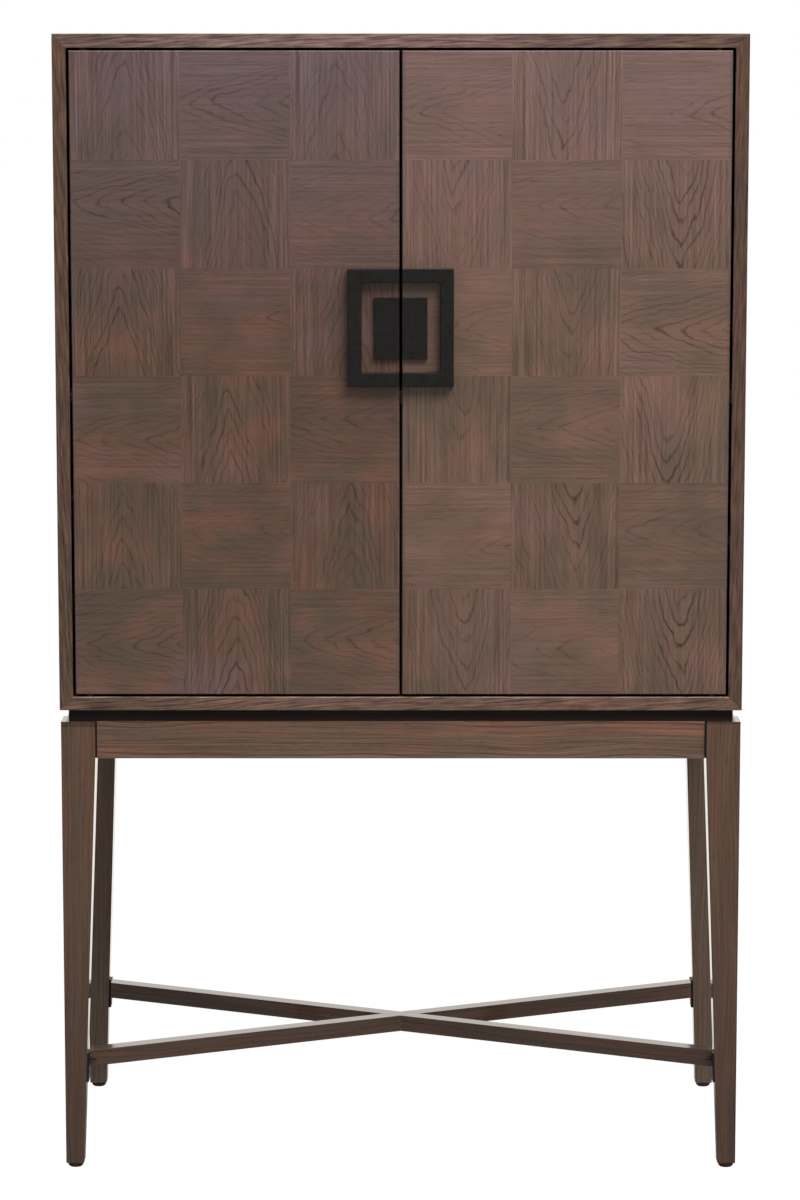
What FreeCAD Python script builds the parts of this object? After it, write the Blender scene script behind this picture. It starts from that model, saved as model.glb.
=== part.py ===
import FreeCAD, Part
import os
import re
import Sketcher
from FreeCAD import Placement, Rotation, Vector

# Bar cabinet: a mitred oak case with two doors on pivot hinges, on a stand with four tapered
# legs and a crossed stretcher. Behind the doors a counter carries a fold-out shelf in two
# leaves, over a bottle rack and a shelf, with a mirror and stemware rails above.
# Millimetres, +Z up, front towards -Y, origin on the floor under the middle of the whole.

DRIVING = {
    # eased edges of the case, legs and stretcher
    "edge_bevel": 0.6,
    # case
    "case_width": 900, "case_depth": 440, "case_height": 884, "panel": 18,
    "back_thick": 6, "back_lap": 8, "back_screw_margin": 40,
    # plinth between case and stand
    "plinth_height": 16, "plinth_inset": 11, "plinth_thick": 18, "plinth_block": 62,
    # stand
    "stand_height": 608, "leg_top": 45, "leg_foot": 24, "leg_inset": 1, "leg_setback": 3.5,
    "leg_bevel": 1.5, "glide_height": 6, "glide_radius": 10, "glide_bevel": 2,
    "glide_pin_radius": 2.5, "glide_pin_length": 16,
    "apron_height": 50, "apron_thick": 20, "apron_setback": 5, "groove_width": 2,
    "groove_depth": 4,
    "tenon_length": 14, "tenon_thick": 8, "tenon_shoulder": 10,
    "corner_block_thick": 20, "corner_block_reach": 70,
    "bolt_inset": 60, "bolt_radius": 3, "bolt_head_radius": 5.8, "bolt_head_height": 4,
    "bolt_bite": 12,
    # crossed stretcher
    "bar_width": 22, "bar_height": 22, "bar_top": 158, "bar_end_inset": 12, "strap_thick": 3,
    "strap_width": 22, "strap_height": 40, "strap_screw_drop": 31, "bar_screw_drop": 11,
    "bar_screw_sink": 0.3,
    # doors
    "reveal": 3.6, "door_thick": 20, "door_bevel": 1,
    "pivot_inset": 18, "pivot_depth": 8, "pivot_radius": 3, "pivot_play": 0.08,
    "pivot_collar_radius": 6, "pivot_collar_play": 0.2, "pivot_bite": 4, "pivot_drill_play": 0.5,
    "plate_thick": 2.5, "plate_width": 14, "plate_near": 12, "plate_far": 48,
    "plate_front": 5, "plate_screw_near": 20, "plate_screw_far": 38,
    # pulls
    "handle_depth": 14, "handle_drop": 357, "handle_half_width": 69, "handle_height": 153,
    "handle_bar": 18, "handle_bevel": 0.8, "badge_half_width": 34.7, "badge_height": 80,
    "badge_thick": 6, "badge_drop": 1, "badge_bevel": 0.5, "handle_screw_inset": 9,
    "badge_screw_inset": 14, "handle_screw_radius": 2, "handle_screw_head": 4.5,
    "handle_screw_dome": 2.2, "handle_screw_bite": 9, "badge_screw_bite": 2,
    # door catches
    "catch_near": 14, "catch_width": 30, "catch_depth": 24, "catch_height": 16,
    "catch_gap": 0.3, "catch_bore": 8, "catch_bore_play": 0.3, "strike_thick": 1.5,
    "strike_height": 18, "strike_drop": 3,
    # wood screw of the hinges and catches
    "screw_head_radius": 2.8, "screw_head_height": 1.8, "screw_radius": 1.4, "screw_length": 13,
    "screw_tip": 2.5, "cross_arm": 1.7, "cross_width": 0.7, "cross_depth": 1.1, "hole_lip": 0.5,
    # counter and fold-out leaves
    "counter_top": 1045, "counter_thick": 18, "counter_setback": 14,
    "leaf_thick": 18, "leaf_depth": 300, "leaf_parting": 4, "leaf_pivot_clear": 50,
    "leaf_bevel": 1, "notch_radius": 40, "notch_depth": 12,
    "knuckle_radius": 2.5, "knuckle_clear": 0.3, "knuckle_length": 20, "hinge_pin_radius": 1.2,
    "hinge_pin_play": 0.08, "hinge_plate_thick": 1.2, "hinge_plate_height": 14,
    "hinge_play": 0.4, "hinge_inset": 40, "hinge_screw_inset": 10, "hinge_screw_drop": 8,
    "bumper_radius": 6, "bumper_gap": 0.3, "bumper_inset": 24,
    # lower compartments
    "divider_thick": 18, "rack_board": 9, "rack_setback": 10, "rack_depth": 290,
    "shelf_thick": 16, "shelf_height": 190, "shelf_setback": 24, "shelf_play": 0.5,
    "shelf_pin_radius": 2.5, "shelf_pin_bite": 8, "shelf_pin_reach": 12, "shelf_pin_inset": 40,
    # upper compartment
    "mirror_side": 32, "mirror_thick": 4, "mirror_above": 45, "mirror_below": 50,
    "stile_width": 24, "stile_thick": 6,
    "rail_pitch": 95, "rail_web": 18, "rail_web_height": 14, "rail_flange": 66,
    "rail_flange_thick": 6, "rail_length": 150, "rail_back_gap": 8,
}

# How many of each repeated piece: back screws across and up, rack boards each way, stemware
# rails each side of the middle one.
BACK_SCREW_COUNTS = (4, 4)
RACK_BOARDS = 2
RAIL_PAIRS = 3

# Places and sizes worked out from the driving dimensions.
DERIVED = {
    "case_front": "(handle_depth - case_depth) / 2",
    "case_back": "case_front + case_depth",
    "case_base": "stand_height + plinth_height",
    "case_lid": "case_base + case_height",
    "half_width": "case_width / 2",
    "inner_half": "half_width - panel",
    "inside_floor": "case_base + panel",
    "inside_ceiling": "case_lid - panel",
    "back_face": "case_back - back_thick",
    "leg_half": "half_width - leg_inset",
    "leg_front": "case_front + leg_setback",
    "leg_rear": "case_back - leg_setback",
    "apron_base": "stand_height - apron_height",
    "apron_inner": "apron_setback + apron_thick",
    "block_base": "stand_height - corner_block_thick",
    "plinth_half": "half_width - plinth_inset",
    "plinth_front": "case_front + plinth_inset",
    "plinth_back": "case_back - plinth_inset",
    "bar_base": "bar_top - bar_height",
    "bar_middle": "bar_top - bar_height / 2",
    "door_base": "inside_floor + reveal",
    "door_top": "inside_ceiling - reveal",
    "door_near": "reveal / 2",
    "door_far": "inner_half - reveal",
    "door_back": "case_front + door_thick",
    "pivot_x": "door_far - pivot_inset",
    "pivot_y": "case_front + pivot_depth",
    "pivot_length": "2 * plate_thick + reveal + pivot_bite",
    "handle_level": "door_top - handle_drop",
    "badge_level": "handle_level - badge_drop",
    "counter_front": "door_back + counter_setback",
    "counter_under": "counter_top - counter_thick",
    "hinge_half_length": "3 * knuckle_length / 2",
    "axis_rise": "knuckle_radius + knuckle_clear",
    "axis_level": "counter_top + axis_rise",
    "axis_y": "counter_front - hinge_plate_thick - hinge_play / 2",
    "leaf_under": "axis_level + axis_rise",
    "leaf_top": "leaf_under + leaf_thick",
    "leaf_near": "leaf_parting / 2",
    "leaf_far": "pivot_x - leaf_pivot_clear",
    "leaf_end": "counter_front + leaf_depth",
    "divider_half": "divider_thick / 2",
    "rack_front": "counter_front + rack_setback",
    "rack_back": "rack_front + rack_depth",
    "rack_middle": "rack_front + rack_depth / 2",
    "rack_pitch_x": f"(inner_half - divider_half + rack_board) / {RACK_BOARDS + 1}",
    "rack_pitch_z": f"(counter_under - inside_floor + rack_board) / {RACK_BOARDS + 1}",
    "shelf_under": "inside_floor + shelf_height",
}

SIDES = (("left", -1), ("right", 1))

# The cosine above which an edge counts as running along an axis; a leg's taper is within it.
STRAIGHT = 0.99

# Turns for a screw, which is modelled with its head at the origin and its tip down.
POINT_UP = Rotation(Vector(1, 0, 0), 180)
POINT_DOWN = Rotation()
POINT_BACK = Rotation(Vector(1, 0, 0), 90)
POINT_FRONT = Rotation(Vector(1, 0, 0), -90)
POINT_SIDE = {1: Rotation(Vector(0, 1, 0), -90), -1: Rotation(Vector(0, 1, 0), 90)}

# Turns for a rod, which is modelled rising from the origin.
RISE_UP = Rotation()
RISE_SIDE = {1: Rotation(Vector(0, 1, 0), 90), -1: Rotation(Vector(0, 1, 0), -90)}

doc = FreeCAD.newDocument("bar_cabinet")
sub_parts = []


def fill_sheet():
    """Write the driving dimensions into the sheet, one aliased cell each."""
    sheet = doc.addObject("Spreadsheet::Sheet", "Sizes")
    for row, (alias, value) in enumerate(DRIVING.items(), start=1):
        sheet.set(f"A{row}", alias)
        sheet.set(f"B{row}", str(value))
        sheet.setAlias(f"B{row}", alias)
    doc.recompute()


def formula(text):
    """The text with derived names opened up and driving dimensions bound to the sheet."""
    def swap(match):
        word = match.group()
        if word in DERIVED:
            return "(" + formula(DERIVED[word]) + ")"
        return "Sizes." + word if word in DRIVING else word
    return re.sub(r"[a-z_]\w*", swap, text)


def bind(item, **formulas):
    """Set properties of an object by formulas on the sheet."""
    for prop, text in formulas.items():
        item.setExpression(prop, formula(text))


def bind_place(item, spot, prop="Placement"):
    """Set an object's position by three formulas."""
    for axis, text in zip("xyz", spot):
        item.setExpression(f"{prop}.Base.{axis}", formula(text))


def keep(item, label):
    """Name an object as a sub-part."""
    item.Label = label
    sub_parts.append(item)
    return item


def span(side, near, far):
    """The x range between two distances from the middle plane, on one side of it."""
    return (near, far) if side > 0 else (f"-({far})", f"-({near})")


def block(name, x, y, z):
    """A rectangular block between three pairs of formulas."""
    solid = doc.addObject("Part::Box", name)
    for prop, (low, high) in zip(("Length", "Width", "Height"), (x, y, z)):
        bind(solid, **{prop: f"({high}) - ({low})"})
    bind_place(solid, (x[0], y[0], z[0]))
    return solid


def rod(name, radius, length, spot=("0", "0", "0"), turn=RISE_UP):
    """A cylinder from a spot; unturned it rises from there."""
    solid = doc.addObject("Part::Cylinder", name)
    bind(solid, Radius=radius, Height=length)
    solid.Placement = Placement(Vector(), turn)
    bind_place(solid, spot)
    return solid


def origin_plane(body, role):
    """One of a body's own origin planes."""
    return next(item for item in body.Origin.OriginFeatures if item.Role == role)


def outline(body, name, role, points, lift="0"):
    """A closed sketch of straight lines whose corners are formulas, fully constrained.

    The corners start apart from each other, along a parabola, and the constraints place them.
    """
    sketch = body.newObject("Sketcher::SketchObject", name)
    sketch.AttachmentSupport = [(origin_plane(body, role), "")]
    sketch.MapMode = "FlatFace"
    sketch.setExpression("AttachmentOffset.Base.z", formula(lift))
    count = len(points)
    corners = [Vector(index, index * index, 0) for index in range(count)]
    for index in range(count):
        sketch.addGeometry(Part.LineSegment(corners[index], corners[(index + 1) % count]))
    for index in range(count):
        sketch.addConstraint(Sketcher.Constraint("Coincident", index, 2, (index + 1) % count, 1))
    for index, corner in enumerate(points):
        for kind, text in zip(("DistanceX", "DistanceY"), corner):
            number = sketch.addConstraint(Sketcher.Constraint(kind, -1, 1, index, 1, 1.0))
            sketch.setExpression(f"Constraints[{number}]", formula(text))
    return sketch


def pad(body, sketch, length, backwards=False):
    """Pad a sketch of a body."""
    feature = body.newObject("PartDesign::Pad", sketch.Name + "_pad")
    feature.Profile = sketch
    feature.Reversed = backwards
    bind(feature, Length=length)
    return feature


def prism(name, role, points, start, end):
    """A body padded from an outline along +Z, +Y or +X, between two formulas."""
    body = doc.addObject("PartDesign::Body", name)
    sketch = outline(body, name + "_outline", role, points)
    pad(body, sketch, f"({end}) - ({start})", backwards=role == "XZ_Plane")
    axis = {"XY_Plane": "z", "XZ_Plane": "y", "YZ_Plane": "x"}[role]
    body.setExpression(f"Placement.Base.{axis}", formula(start))
    return body


def turned(name, points):
    """A body turned about the z axis from a profile of radii and heights."""
    body = doc.addObject("PartDesign::Body", name)
    sketch = outline(body, name + "_profile", "XZ_Plane", points)
    feature = body.newObject("PartDesign::Revolution", name + "_turning")
    feature.Profile = sketch
    feature.ReferenceAxis = (sketch, ["V_Axis"])
    feature.Angle = 360
    return body


def bevel(body, pick, size):
    """Chamfer the elements of a body that a function picks from its finished shape."""
    doc.recompute()
    base = body.Tip
    feature = body.newObject("PartDesign::Chamfer", body.Name + "_bevel")
    feature.Base = (base, pick(base.Shape))
    bind(feature, Size=size)


def outermost_face(direction):
    """A picker of the face that lies furthest along a direction."""
    def pick(shape):
        reach = [face.CenterOfMass.dot(direction) for face in shape.Faces]
        return [f"Face{reach.index(max(reach)) + 1}"]
    return pick


def edges_along(shape, faces, axes):
    """The names of the edges of some faces of a shape that run along one of some axes."""
    own = [edge for face in faces for edge in face.Edges]
    names = []
    for number, edge in enumerate(shape.Edges, start=1):
        way = edge.tangentAt(edge.FirstParameter)
        runs = any(abs(way.dot(axis)) > STRAIGHT for axis in axes)
        if runs and any(edge.isSame(other) for other in own):
            names.append(f"Edge{number}")
    return names


def front_long_edges(shape):
    """The edges of the front face that run level or upright, so not its mitres."""
    front = min(shape.Faces, key=lambda face: face.CenterOfMass.y)
    return edges_along(shape, [front], (Vector(1, 0, 0), Vector(0, 0, 1)))


def outer_rising_edges(shape):
    """The rising edges of a leg's two outer faces."""
    outer = [min(shape.Faces, key=lambda face: face.CenterOfMass.x),
             min(shape.Faces, key=lambda face: face.CenterOfMass.y)]
    return edges_along(shape, outer, (Vector(0, 0, 1),))


def group(name, members):
    """Separate solids held as one object."""
    item = doc.addObject("Part::Compound", name)
    item.Links = members
    return item


def copies(name, pattern, spots):
    """Copies of one piece; each spot is three position formulas and a turn."""
    links = []
    for number, (x, y, z, turn) in enumerate(spots, start=1):
        link = doc.addObject("App::Link", f"{name}_{number}")
        link.setLink(pattern)
        link.LinkPlacement = Placement(Vector(), turn)
        bind_place(link, (x, y, z), "LinkPlacement")
        links.append(link)
    return group(name, links)


def join(name, members):
    """Pieces fused into one."""
    item = doc.addObject("Part::MultiFuse", name)
    item.Shapes = members
    return item


def carve(name, base, tools):
    """A piece with the shape of each tool cut away."""
    item = doc.addObject("Part::Cut", name)
    item.Base = base
    item.Tool = tools[0] if len(tools) == 1 else group(name + "_cutters", tools)
    return item


# Screws and bolts.

def make_screw():
    """A countersunk wood screw with a crossed recess, and the plain shape of its hole."""
    profile = (
        ("screw_head_radius", "0"), ("screw_radius", "-screw_head_height"),
        ("screw_radius", "screw_tip - screw_length"), ("0", "-screw_length"))
    turned("wood_screw_hole", (("0", "hole_lip"), ("screw_head_radius", "hole_lip")) + profile)
    body = turned("wood_screw", (("0", "0"),) + profile)
    arm, half = "cross_arm", "cross_width / 2"
    corners = ((half, arm), (half, half), (arm, half))
    cross = []
    for turn_x, turn_y in ((1, 1), (1, -1), (-1, -1), (-1, 1)):
        quarter = [(f"{turn_x} * {x}", f"{turn_y} * {y}") for x, y in corners]
        cross += quarter if turn_x == turn_y else reversed(quarter)
    recess = body.newObject("PartDesign::Pocket", "wood_screw_recess")
    recess.Profile = outline(body, "wood_screw_cross", "XY_Plane", cross)
    bind(recess, Length="cross_depth")


def drive(name, spots):
    """Wood screws at some spots, kept under a name; returns the holes that they need."""
    keep(copies(name, doc.getObject("wood_screw"), spots), name)
    return copies(name + "_holes", doc.getObject("wood_screw_hole"), spots)


def make_handle_screw(name, bite):
    """A domed machine screw through the door; the head's underside is at the origin."""
    return turned(name, (
        ("0", "handle_screw_dome"), ("handle_screw_head - handle_screw_dome / 2",
                                     "handle_screw_dome"),
        ("handle_screw_head", "handle_screw_dome / 2"), ("handle_screw_head", "0"),
        ("handle_screw_radius", "0"), ("handle_screw_radius", f"-(door_thick + {bite})"),
        ("0", f"-(door_thick + {bite})")))


def make_bolt(name):
    """A hexagon bolt, its tip up and the underside of its head at the origin."""
    head = doc.addObject("Part::Prism", name + "_head")
    head.Polygon = 6
    bind(head, Circumradius="bolt_head_radius", Height="bolt_head_height")
    bind_place(head, ("0", "0", "-bolt_head_height"))
    shank = rod(name + "_shank", "bolt_radius",
                "corner_block_thick + plinth_height + bolt_bite")
    return join(name, [head, shank])


# Stand.

def corner_turns():
    """The four corners: name, signs towards the corner, and the turn that brings a piece there."""
    return (("front_left", -1, -1, Rotation(Vector(0, 0, 1), 0)),
            ("front_right", 1, -1, Rotation(Vector(0, 0, 1), 90)),
            ("rear_right", 1, 1, Rotation(Vector(0, 0, 1), 180)),
            ("rear_left", -1, 1, Rotation(Vector(0, 0, 1), 270)))


def corner_spot(sign_x, sign_y, inset="0"):
    """The plan position of a leg's outer corner, or a spot that far in from both its faces."""
    x = f"{sign_x} * (leg_half - {inset})"
    y = f"leg_front + {inset}" if sign_y < 0 else f"leg_rear - {inset}"
    return x, y


def square(size):
    """A square outline with one corner at the origin."""
    return (("0", "0"), (size, "0"), (size, size), ("0", size))


def make_leg(name, sign_x, sign_y, turn, cutters):
    """A leg, square at the apron and tapered on its two inner faces down to the foot."""
    body = doc.addObject("PartDesign::Body", name + "_blank")
    section = outline(body, name + "_section", "XY_Plane", square("leg_top"), "glide_height")
    pad(body, section, "stand_height - glide_height")
    wedge = (("leg_foot", "glide_height"), ("leg_top", "apron_base"), ("leg_top", "glide_height"))
    for number, role in enumerate(("XZ_Plane", "YZ_Plane"), start=1):
        taper = body.newObject("PartDesign::Pocket", f"{name}_taper_{number}")
        taper.Profile = outline(body, f"{name}_slope_{number}", role, wedge)
        taper.Type = "ThroughAll"
        taper.Midplane = True
    bevel(body, outermost_face(Vector(0, 0, -1)), "leg_bevel")
    bevel(body, outer_rising_edges, "edge_bevel")
    body.Placement = Placement(Vector(), turn)
    x, y = corner_spot(sign_x, sign_y)
    bind_place(body, (x, y, "0"))
    return keep(carve(name, body, cutters), name)


def make_apron(name, main, tenons, grooves):
    """An apron board with a tenon at each end and a groove along each joint with a leg."""
    board = block(name + "_board", *main)
    ends = [block(f"{name}_tenon_{number}", *tenon) for number, tenon in enumerate(tenons, 1)]
    cuts = [block(f"{name}_groove_{number}", *groove) for number, groove in enumerate(grooves, 1)]
    return keep(carve(name, join(name + "_blank", [board] + ends), cuts), name)


def make_long_apron(name, outer, inwards):
    """A front or rear apron; outer is the leg's face and inwards points into the stand."""
    near, far = f"{outer} + {inwards} * apron_setback", f"{outer} + {inwards} * apron_inner"
    y = (near, far) if inwards > 0 else (far, near)
    middle = f"{outer} + {inwards} * (apron_setback + apron_thick / 2)"
    tenon_y = (f"{middle} - tenon_thick / 2", f"{middle} + tenon_thick / 2")
    tenon_z = ("apron_base + tenon_shoulder", "stand_height - tenon_shoulder")
    end, z = "leg_half - leg_top", ("apron_base", "stand_height")
    tenons = [(span(side, end, f"{end} + tenon_length"), tenon_y, tenon_z) for side in (-1, 1)]
    deep = f"{near} + {inwards} * groove_depth"
    groove_y = (near, deep) if inwards > 0 else (deep, near)
    grooves = [(span(side, f"{end} - groove_width", end), groove_y, z) for side in (-1, 1)]
    return make_apron(name, (span(1, f"-({end})", end), y, z), tenons, grooves)


def make_side_apron(name, side):
    """A left or right apron."""
    x = span(side, "leg_half - apron_inner", "leg_half - apron_setback")
    middle = f"{side} * (leg_half - apron_setback - apron_thick / 2)"
    tenon_x = (f"{middle} - tenon_thick / 2", f"{middle} + tenon_thick / 2")
    tenon_z = ("apron_base + tenon_shoulder", "stand_height - tenon_shoulder")
    front, rear = "leg_front + leg_top", "leg_rear - leg_top"
    tenons = [(tenon_x, (f"{front} - tenon_length", front), tenon_z),
              (tenon_x, (rear, f"{rear} + tenon_length"), tenon_z)]
    face = "leg_half - apron_setback"
    groove_x, z = span(side, f"{face} - groove_depth", face), ("apron_base", "stand_height")
    grooves = [(groove_x, (front, f"{front} + groove_width"), z),
               (groove_x, (f"{rear} - groove_width", rear), z)]
    return make_apron(name, (x, (front, rear), z), tenons, grooves)


def leg_face(level):
    """The distance from the middle plane to the inner face of the legs at a level."""
    slope = "(leg_top - leg_foot) / (apron_base - glide_height)"
    return f"(leg_half - leg_foot - {slope} * ({level} - glide_height))"


def bar_line(end_y):
    """How far back the middle of a bar is where it meets a front or rear leg."""
    return "leg_front + bar_end_inset" if end_y < 0 else "leg_rear - bar_end_inset"


def stretcher_board(name, direction, low, high):
    """A straight board along one diagonal of the stand, before it is cut between the straps."""
    run, rise = "2 * leg_half", f"({bar_line(1)} - ({bar_line(-1)}))"
    slant = f"sqrt(({run}) ^ 2 + {rise} ^ 2)"
    off_x, off_y = f"bar_width / 2 * {rise} / {slant}", f"bar_width / 2 * {run} / {slant}"
    front, rear = bar_line(-1), bar_line(1)
    start_y, end_y = (front, rear) if direction > 0 else (rear, front)
    corners = (
        (f"-leg_half - {direction} * {off_x}", f"{start_y} + {off_y}"),
        (f"-leg_half + {direction} * {off_x}", f"{start_y} - {off_y}"),
        (f"leg_half + {direction} * {off_x}", f"{end_y} - {off_y}"),
        (f"leg_half - {direction} * {off_x}", f"{end_y} + {off_y}"))
    return prism(name, "XY_Plane", corners, low, high)


def between_straps():
    """The space between the straps on the left and right legs."""
    low, high = (f"{leg_face(level)} - strap_thick" for level in ("bar_base", "bar_top"))
    corners = ((f"-({low})", "bar_base"), (low, "bar_base"), (high, "bar_top"),
               (f"-({high})", "bar_top"))
    return prism("strap_space", "XZ_Plane", corners, "case_front", "case_back")


def make_stretcher(screws):
    """Two bars along the diagonals, half-lapped where they cross."""
    space = between_straps()
    for name, other, direction, low, high in (
            ("stretcher_bar_a", "lap_b", 1, "bar_middle", "bar_top"),
            ("stretcher_bar_b", "lap_a", -1, "bar_base", "bar_middle")):
        board = stretcher_board(name + "_board", direction, "bar_base", "bar_top")
        for down in (1, -1):
            bevel(board, outermost_face(Vector(0, 0, down)), "edge_bevel")
        lap = stretcher_board(other, -direction, low, high)
        fitted = doc.addObject("Part::Common", name + "_fitted")
        fitted.Base = board
        fitted.Tool = space
        keep(carve(name, fitted, [lap, screws]), name)


def make_straps(screws):
    """A steel strap on the inner side of each leg, which carries the end of a bar."""
    straps = []
    for name, sign_x, sign_y, _turn in corner_turns():
        low, high = leg_face("bar_top - strap_height"), leg_face("bar_top")
        corners = [(f"{sign_x} * {low}", "bar_top - strap_height"),
                   (f"{sign_x} * ({low} - strap_thick)", "bar_top - strap_height"),
                   (f"{sign_x} * ({high} - strap_thick)", "bar_top"),
                   (f"{sign_x} * {high}", "bar_top")]
        middle = bar_line(sign_y)
        straps.append(prism(name + "_strap", "XZ_Plane", corners,
                            f"{middle} - strap_width / 2", f"{middle} + strap_width / 2"))
    return keep(carve("stretcher_straps", group("strap_blanks", straps), [screws]),
                "stretcher_straps")


def make_stretcher_screws():
    """In each strap one screw into the leg and one into the bar; returns all holes, and the legs'."""
    leg_spots, bar_spots = [], []
    for _name, sign_x, sign_y, _turn in corner_turns():
        low, high = "bar_top - strap_screw_drop", "bar_top - bar_screw_drop"
        leg_spots.append((f"{sign_x} * ({leg_face(low)} - strap_thick)", bar_line(sign_y), low,
                          POINT_SIDE[sign_x]))
        bar_spots.append((f"{sign_x} * ({leg_face(high)} - bar_screw_sink)", bar_line(sign_y), high,
                          POINT_SIDE[-sign_x]))
    holes = drive("stretcher_screws", leg_spots + bar_spots)
    return holes, copies("leg_screw_holes", doc.getObject("wood_screw_hole"), leg_spots)


def make_stand(bolts):
    """Legs, aprons, corner blocks, glides and the crossed stretcher."""
    aprons = {"front": make_long_apron("front_apron", "leg_front", 1),
              "rear": make_long_apron("rear_apron", "leg_rear", -1)}
    for word, side in SIDES:
        aprons[word] = make_side_apron(word + "_apron", side)
    glide = turned("glide", (
        ("0", "0"), ("glide_radius - glide_bevel", "0"), ("glide_radius", "glide_bevel"),
        ("glide_radius", "glide_height"), ("glide_pin_radius", "glide_height"),
        ("glide_pin_radius", "glide_height + glide_pin_length"),
        ("0", "glide_height + glide_pin_length")))
    spots = [corner_spot(x, y, "leg_foot / 2") + ("0", RISE_UP)
             for _name, x, y, _turn in corner_turns()]
    glides = keep(copies("foot_glides", glide, spots), "foot_glides")
    screws, leg_holes = make_stretcher_screws()
    for name, sign_x, sign_y, turn in corner_turns():
        end, word = name.split("_")
        cutters = [aprons[end], aprons[word], glides, leg_holes]
        make_leg(name + "_leg", sign_x, sign_y, turn, cutters)
    reach = "leg_top + corner_block_reach"
    corners = (("leg_top", "apron_inner"), (reach, "apron_inner"), ("apron_inner", reach),
               ("apron_inner", "leg_top"), ("leg_top", "leg_top"))
    pattern = prism("corner_block", "XY_Plane", corners, "0", "corner_block_thick")
    spots = [corner_spot(x, y) + ("block_base", turn) for _name, x, y, turn in corner_turns()]
    blanks = copies("corner_block_blanks", pattern, spots)
    keep(carve("corner_blocks", blanks, [bolts]), "corner_blocks")
    make_straps(screws)
    make_stretcher(screws)


def make_plinth(bolts):
    """The recessed plinth: rails under the case's edges and a block in each corner."""
    z = ("stand_height", "case_base")
    x = ("-plinth_half", "plinth_half")
    front_inner, rear_inner = "plinth_front + plinth_thick", "plinth_back - plinth_thick"
    side_inner = "plinth_half - plinth_thick"
    keep(block("plinth_front_rail", x, ("plinth_front", front_inner), z), "plinth_front_rail")
    keep(block("plinth_rear_rail", x, (rear_inner, "plinth_back"), z), "plinth_rear_rail")
    rails = [block(f"plinth_{word}_rail", span(side, side_inner, "plinth_half"),
                   (front_inner, rear_inner), z) for word, side in SIDES]
    keep(group("plinth_side_rails", rails), "plinth_side_rails")
    blocks = []
    for word, side in SIDES:
        across = span(side, f"{side_inner} - plinth_block", side_inner)
        for end, deep in (("front", (front_inner, f"{front_inner} + plinth_block")),
                          ("rear", (f"{rear_inner} - plinth_block", rear_inner))):
            blocks.append(block(f"plinth_{end}_{word}_block", across, deep, z))
    keep(carve("plinth_blocks", group("plinth_block_blanks", blocks), [bolts]), "plinth_blocks")


# Case.

def case_outlines():
    """The four mitred boards of the case, as seen from the front."""
    out, inner = "half_width", "inner_half"
    low, floor, ceiling, lid = "case_base", "inside_floor", "inside_ceiling", "case_lid"
    boards = {
        "case_top": ((f"-{out}", lid), (out, lid), (inner, ceiling), (f"-{inner}", ceiling)),
        "case_bottom": ((f"-{out}", low), (f"-{inner}", floor), (inner, floor), (out, low))}
    for word, side in SIDES:
        boards[f"case_{word}_side"] = (
            (f"{side} * {out}", low), (f"{side} * {out}", lid),
            (f"{side} * {inner}", ceiling), (f"{side} * {inner}", floor))
    return boards


def make_case(cutters):
    """The case boards, with a lap at the back for the back panel and holes for what they hold."""
    lap = block("back_lap_space", ("-inner_half - back_lap", "inner_half + back_lap"),
                ("back_face", "case_back"),
                ("inside_floor - back_lap", "inside_ceiling + back_lap"))
    for name, corners in case_outlines().items():
        board = prism(name + "_board", "XZ_Plane", corners, "case_front", "case_back")
        bevel(board, front_long_edges, "edge_bevel")
        keep(carve(name, board, [lap] + cutters[name]), name)


def make_back(screws):
    """The back panel, let into the laps of the case."""
    sheet = block("back_sheet", ("-inner_half - back_lap", "inner_half + back_lap"),
                  ("back_face", "case_back"),
                  ("inside_floor - back_lap", "inside_ceiling + back_lap"))
    return keep(carve("back_panel", sheet, [screws]), "back_panel")


def spaced(low, high, count):
    """Evenly spaced formulas from low to high."""
    return [f"{low} + {index} * (({high}) - ({low})) / {count - 1}" for index in range(count)]


def make_back_screws():
    """Screws round the edge of the back panel, into the laps."""
    edge_x, edge_low = "inner_half + back_lap / 2", "inside_floor - back_lap / 2"
    edge_high = "inside_ceiling + back_lap / 2"
    count_across, count_up = BACK_SCREW_COUNTS
    across = spaced("back_screw_margin - inner_half", "inner_half - back_screw_margin",
                    count_across)
    up = spaced("inside_floor + back_screw_margin", "inside_ceiling - back_screw_margin", count_up)
    spots = [(x, "case_back", z, POINT_FRONT) for x in across for z in (edge_low, edge_high)]
    spots += [(f"{side} * ({edge_x})", "case_back", z, POINT_FRONT) for z in up for side in (-1, 1)]
    return drive("back_panel_screws", spots)


# Pivot hinges and catches.

def plate_span(side):
    """The x range of a pivot plate."""
    return span(side, "pivot_x - plate_far", "pivot_x + plate_near")


PLATE_DEPTH = ("pivot_y - plate_front", "pivot_y - plate_front + plate_width")


def pivot_pin():
    """A pivot pin with a collar, from the buried face of the case's plate upwards."""
    collar_top = "plate_thick + reveal - pivot_collar_play"
    return turned("pivot_pin", (
        ("0", "0"), ("pivot_radius", "0"), ("pivot_radius", "plate_thick"),
        ("pivot_collar_radius", "plate_thick"), ("pivot_collar_radius", collar_top),
        ("pivot_radius", collar_top), ("pivot_radius", "pivot_length"), ("0", "pivot_length")))


def plate_screw_spots(side, z, turn):
    """Two screws through a pivot plate."""
    return [(f"{side} * (pivot_x - {away})", "pivot_y - plate_front + plate_width / 2", z, turn)
            for away in ("plate_screw_near", "plate_screw_far")]


def make_pivot_pins():
    """A pin at the top and bottom of each door."""
    spots = []
    for _word, side in SIDES:
        x = f"{side} * pivot_x"
        spots.append((x, "pivot_y", "inside_floor - plate_thick", RISE_UP))
        spots.append((x, "pivot_y", "inside_ceiling + plate_thick", POINT_UP))
    return keep(copies("case_pivot_pins", pivot_pin(), spots), "case_pivot_pins")


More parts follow.
